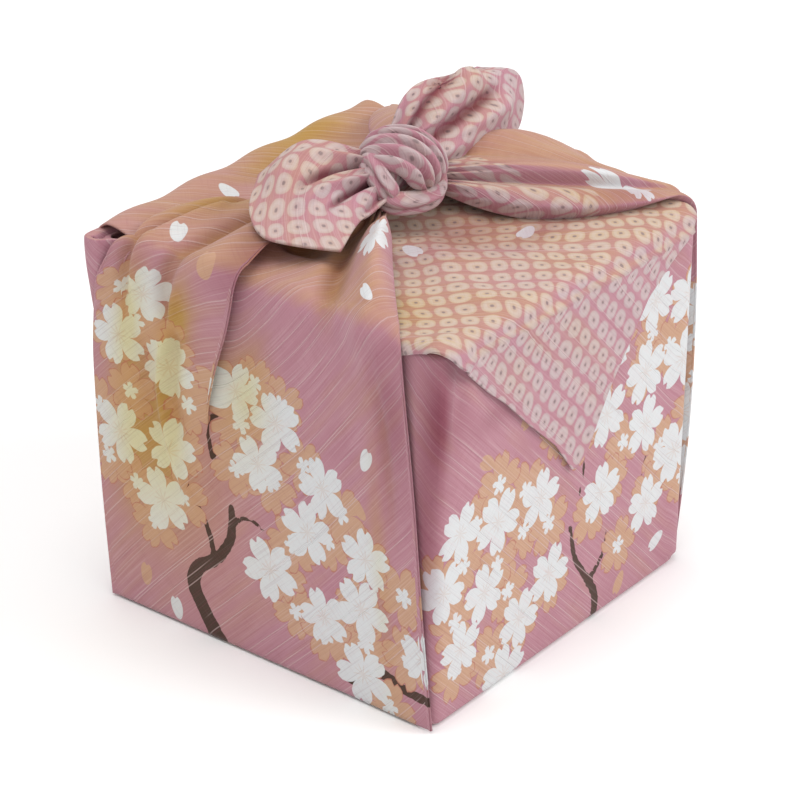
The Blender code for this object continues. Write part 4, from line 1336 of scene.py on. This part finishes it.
@dataclass
class FreeEnd:
    """A free end of the knot: a leaf-shaped loft between strands that leave the knot and end at the hem."""

    name: str
    side: Side
    strands: tuple[tuple[Point, ...], ...]
    creases: tuple[Crease, ...]
    rows: int = 72
    columns: int = 84
    thickness: float = 0.0012
    pleat_depth: float = 0.0012
    pleats: float = 5.0

    def sheet(self) -> Sheet:
        """Loft across the strands and add the creases and pleats.

        Returns:
            The sheet.
        """
        side = self.side.value
        lift = np.array((0.0, 0.0, HEIGHT))
        guides = np.stack([spline(np.array(strand) + lift, self.rows) for strand in self.strands])
        points = np.swapaxes(spline(guides, self.columns), 0, 1)
        outward = (0.2 * side, -1.0, 1.0)
        run = lengths_along(points, 0)
        wide = lengths_along(points, 1)
        wide = wide - wide[:, -1:] / 2
        full = np.linspace(-0.5, 0.5, self.columns)[None] * lengths_along(points, 1)[:, -1:].max()
        flat = np.stack([side * (0.345 + run), 0.5 * (wide + full)], axis=2)
        normal = grid_normals(points, outward)
        rise = sum(crease.lift(points, normal) for crease in self.creases)
        across = np.linspace(0.0, 1.0, self.columns)[None]
        reach = np.exp(-((run / 0.026) ** 2))
        pleat = np.cos(2 * math.pi * self.pleats * across) * reach
        points = points + normal * (rise + self.pleat_depth * pleat)[..., None]
        # Painted shade in the creases' troughs: a little gold and more deep rose.
        sunk = np.clip(-rise / 0.003, 0.0, 1.0)
        return Sheet(self.name, points, flat, outward, gold_and_crease_shade=0.2 * sunk, cleft=1.0 * sunk, top_light_gain=0.35,
                     thickness=self.thickness)


@dataclass(frozen=True)
class Band:
    """A rounded band of bunched cloth along a curve, in oval sections that shrink to a point at both ends.

    pleats is how many rolls lie side by side on its outer side. They deepen from
    first_depth at the path's start to pleat_depth by its middle.
    """

    name: str
    line: tuple[Point, ...]
    half_width: float
    half_height: float
    pleats: int
    pleat_depth: float = 0.30
    first_depth: float = 0.30
    gather: float = 2.2
    steps: int = 80
    sides: int = 90

    def sheet(self, middle: Array) -> Sheet:
        """Sweep the oval along the curve.

        Args:
            middle: the middle of the knot, from which the band looks outward.

        Returns:
            The band as a closed-ring sheet.
        """
        path = spline(np.array(self.line), self.steps) + (0.0, 0.0, HEIGHT)
        tangent = np.gradient(path, axis=0)
        tangent /= np.linalg.norm(tangent, axis=1, keepdims=True)
        outward = path - middle
        outward -= (outward * tangent).sum(axis=1, keepdims=True) * tangent
        outward /= np.linalg.norm(outward, axis=1, keepdims=True)
        sideways = np.cross(tangent, outward)
        taper = np.sqrt(np.clip(1.0 - np.linspace(-0.998, 0.998, self.steps) ** 6, 0.0, 1.0))
        angle = np.linspace(0.0, 2 * math.pi, self.sides, endpoint=False)
        place = np.linspace(0.0, 1.0, self.steps)[:, None]
        wave = self.pleats * math.pi / 2 * (1.0 + np.cos(angle))[None] + 0.35 * np.sin(5.0 * place + 3.0 * angle[None])
        depth = self.first_depth + (self.pleat_depth - self.first_depth) * smooth_step(0.1, 0.55, place)
        cleft = (1.0 - np.abs(np.sin(wave)) ** 0.7) * smooth_step(0.0, 0.5, np.sin(angle))[None]
        groove = 1.0 - depth * cleft
        across = self.half_width * np.cos(angle)[None, :, None] * sideways[:, None]
        height = self.half_height * (groove * np.sin(angle)[None])[..., None] * outward[:, None]
        points = path[:, None] + taper[:, None, None] * (across + height)
        run = np.repeat(np.linspace(0.0, 1.0, self.steps)[:, None], self.sides, 1)
        length = np.linalg.norm(np.diff(path, axis=0), axis=1).sum()
        flat = np.stack([0.40 + run * length, np.repeat((self.half_width * self.gather * np.cos(angle))[None], self.steps, 0)],
                        axis=2)
        # Painted shade in the grooves between the rolls.
        return Sheet(self.name, points, flat, (0, 0, 1), cleft=0.85 * cleft * depth, top_light_gain=0.3, thickness=0.0,
                     closed=True)


@dataclass
class Knot:
    """The square knot: its bands and the two free ends."""

    middle: Point = (0.0, 0.0, HEIGHT + 0.0170)
    core: Band = Band("knot_core", ((-0.0160, 0.0030, 0.0160), (-0.0090, 0.0030, 0.0175), (0.0000, 0.0030, 0.0180),
                                    (0.0090, 0.0030, 0.0185), (0.0155, 0.0020, 0.0180)), 0.0110, 0.0095, 3, 0.2, 0.2)
    low_band: Band = Band("knot_low_band", ((-0.0170, 0.0000, 0.0150), (-0.0140, -0.0090, 0.0120),
                                            (-0.0020, -0.0135, 0.0108), (0.0070, -0.0120, 0.0120),
                                            (0.0115, -0.0060, 0.0180), (0.0095, 0.0030, 0.0255)),
                          0.0052, 0.0044, 2, 0.35, 0.35)
    top_band: Band = Band("knot_top_band", ((-0.0050, 0.0115, 0.0190), (-0.0055, 0.0060, 0.0270),
                                            (-0.0025, -0.0040, 0.0290), (0.0005, -0.0110, 0.0240),
                                            (0.0010, -0.0130, 0.0150)), 0.0122, 0.0070, 5, 0.85, 0.30)
    collar: Band = Band("knot_collar", ((-0.0105, 0.0090, 0.0240), (-0.0150, 0.0025, 0.0245),
                                        (-0.0168, -0.0040, 0.0200), (-0.0150, -0.0090, 0.0140)),
                        0.0050, 0.0038, 2, 0.45, 0.3)
    left: FreeEnd = field(default_factory=lambda: FreeEnd(
        "left_end", Side.LEFT,
        (((-0.011, -0.006, 0.015), (-0.036, -0.010, 0.013), (-0.060, -0.019, 0.012)),
         ((-0.012, -0.002, 0.018), (-0.042, 0.001, 0.020), (-0.070, -0.003, 0.0135)),
         ((-0.012, 0.001, 0.021), (-0.045, 0.010, 0.024), (-0.072, 0.010, 0.0145)),
         ((-0.011, 0.004, 0.023), (-0.037, 0.020, 0.029), (-0.064, 0.022, 0.019)),
         ((-0.009, 0.006, 0.025), (-0.025, 0.026, 0.032), (-0.049, 0.030, 0.025))),
        (Crease(((-0.014, 0.006, 0.187), (-0.030, 0.019, 0.191), (-0.056, 0.023, 0.184)), 0.0060, 0.0026, 0.8),
         Crease(((-0.010, 0.003, 0.184), (-0.030, 0.011, 0.187), (-0.052, 0.014, 0.181)), 0.0015, -0.0052, 0.5),
         Crease(((-0.012, 0.001, 0.182), (-0.036, 0.006, 0.184), (-0.062, 0.008, 0.177)), 0.0028, 0.0024),
         Crease(((-0.010, -0.001, 0.181), (-0.030, 0.000, 0.182), (-0.052, -0.001, 0.178)), 0.0015, -0.0048, 0.5),
         Crease(((-0.012, -0.003, 0.178), (-0.034, -0.006, 0.178), (-0.060, -0.010, 0.174)), 0.0050, 0.0022),
         Crease(((-0.010, -0.004, 0.177), (-0.026, -0.007, 0.177), (-0.040, -0.010, 0.175)), 0.0014, -0.0034, 0.5))))
    right: FreeEnd = field(default_factory=lambda: FreeEnd(
        "right_end", Side.RIGHT,
        (((0.009, -0.008, 0.015), (0.036, -0.010, 0.013), (0.060, -0.007, 0.012)),
         ((0.011, -0.004, 0.021), (0.044, -0.008, 0.023), (0.077, -0.001, 0.013)),
         ((0.009, 0.001, 0.026), (0.045, -0.004, 0.034), (0.082, 0.001, 0.024)),
         ((0.005, 0.005, 0.028), (0.036, 0.003, 0.044), (0.078, 0.003, 0.035)),
         ((0.001, 0.008, 0.029), (0.020, 0.010, 0.044), (0.058, 0.006, 0.042))),
        (Crease(((0.016, -0.006, 0.186), (0.045, -0.008, 0.190), (0.074, -0.001, 0.187)), 0.0045, 0.0030, 0.8),
         Crease(((0.012, -0.002, 0.187), (0.040, -0.004, 0.194), (0.066, 0.001, 0.195)), 0.0030, -0.0044, 0.7),
         Crease(((0.016, 0.003, 0.191), (0.036, 0.001, 0.201), (0.056, 0.003, 0.204)), 0.0040, 0.0028, 0.8),
         Crease(((0.010, 0.006, 0.190), (0.024, 0.006, 0.200), (0.046, 0.006, 0.206)), 0.0022, -0.0036, 0.8))))

    def sheets(self) -> list[Sheet]:
        """List the knot's bands and then its free ends."""
        middle = np.array(self.middle)
        bands = [band.sheet(middle) for band in (self.core, self.low_band, self.top_band, self.collar)]
        return bands + [self.left.sheet(), self.right.sheet()]


@dataclass
class Studio:
    """The pale floor, the soft lights and the camera at the photograph's angle."""

    azimuth: float = -52.19
    elevation: float = 27.45
    roll: float = 0.48
    place: Point = (-0.894078, -0.694494, 0.66906)
    lens: float = 143.82
    sensor: float = 36.0
    floor_size: float = 6.0
    floor_tone: float = 0.96
    world_light: float = 0.70
    lights: tuple[tuple[Point, float, float], ...] = (
        ((-1.3, -0.5, 1.1), 1.0, 1.5),
        ((0.7, -1.4, 1.2), 1.1, 14.5),
        ((-0.3, 0.1, 2.0), 1.4, 17.0),
    )

    def camera(self) -> None:
        """Stand the camera where the photograph was taken."""
        turn, tilt, roll = (math.radians(angle) for angle in (self.azimuth, self.elevation, self.roll))
        back = Vector((math.sin(turn) * math.cos(tilt), -math.cos(turn) * math.cos(tilt), math.sin(tilt)))
        right = Vector((0, 0, 1)).cross(back).normalized()
        up = back.cross(right)
        across = math.cos(roll) * right + math.sin(roll) * up
        upright = math.cos(roll) * up - math.sin(roll) * right
        camera = bpy.data.objects.new("camera", bpy.data.cameras.new("camera"))
        camera.matrix_world = Matrix.Translation(self.place) @ Matrix((across, upright, back)).transposed().to_4x4()
        camera.data.lens = self.lens
        camera.data.sensor_width = self.sensor
        bpy.context.scene.collection.objects.link(camera)
        bpy.context.scene.camera = camera

    def light(self) -> None:
        """Hang the soft lights, turn them to the object and brighten the world."""
        for number, (place, size, power) in enumerate(self.lights):
            lamp = bpy.data.lights.new(f"soft_light_{number}", "AREA")
            lamp.shape = "DISK"
            lamp.size = size
            lamp.energy = power
            holder = bpy.data.objects.new(lamp.name, lamp)
            holder.location = place
            holder.rotation_euler = Vector((-place[0], -place[1], 0.08 - place[2])).to_track_quat("-Z", "Y").to_euler()
            bpy.context.scene.collection.objects.link(holder)
        world = bpy.data.worlds.new("studio")
        world.use_nodes = True
        ground = world.node_tree.nodes["Background"]
        ground.inputs["Color"].default_value = (1.0, 0.99, 0.98, 1.0)
        ground.inputs["Strength"].default_value = self.world_light
        bpy.context.scene.world = world

    def floor(self) -> None:
        """Lay a plain pale floor."""
        mesh = bpy.data.meshes.new("floor")
        half = self.floor_size / 2
        mesh.from_pydata([(-half, -half, 0), (half, -half, 0), (half, half, 0), (-half, half, 0)], [], [(0, 1, 2, 3)])
        graph = Graph("pale_floor")
        shader = graph.node("ShaderNodeBsdfPrincipled", {}, {
            "Base Color": (self.floor_tone,) * 3 + (1.0,),
            "Roughness": 0.9,
        })
        graph.node("ShaderNodeOutputMaterial", {}, {"Surface": shader.outputs[0]})
        mesh.materials.append(graph.material)
        floor = bpy.data.objects.new("floor", mesh)
        bpy.context.scene.collection.objects.link(floor)

    def set_up(self) -> None:
        """Make the floor, the lights and the camera."""
        self.floor()
        self.light()
        self.camera()
        bpy.context.scene.view_settings.view_transform = "Standard"


def declare(sheet: Sheet) -> None:
    """Work out a sheet's flat size, measured on the flat cloth; nothing is done with it.

    Args:
        sheet: the sheet.
    """
    flat = sheet.flat.reshape(-1, 2)
    reach = flat.max(axis=0) - flat.min(axis=0)
    area = min(sheet.flat_area(), float(reach[0] * reach[1]))


def main() -> None:
    """Build the wrap, dress it and set up the studio."""
    logging.basicConfig(level=logging.INFO, format="%(name)s: %(message)s")
    Studio().set_up()
    cherry = Print()
    LOG.info("blossoms in each layer: %s", {m.value: len(b.radii) for m, b in cherry.layers.items()})
    cotton = PrintedCotton().material("printed_cotton")
    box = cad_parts[BOX_NODE]
    box.data.materials.clear()
    box.data.materials.append(PaleWood().material("pale_wood"))
    sheets = [
        Walls().sheet(),
        Flap().sheet(),
        Wing("left_wing", Side.LEFT, LEFT_HEIGHTS, LEFT_THREADS, LEFT_CREASES, 230).sheet(),
        Wing("right_wing", Side.RIGHT, RIGHT_HEIGHTS, RIGHT_THREADS, RIGHT_CREASES, 170, crease_gold_shade=0.15).sheet(),
        SlackCorner().sheet(),
        *Knot().sheets(),
    ]
    for sheet in sheets:
        piece = sheet.build(cherry, cotton)
        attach(piece, BODY)
        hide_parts(CLOTH_NODE)
        if sheet.thickness:
            declare(sheet)
        else:
            piece.modifiers.clear()
        LOG.info("%s: %d faces", sheet.name, len(piece.data.polygons))


if __name__ == "__main__":
    main()
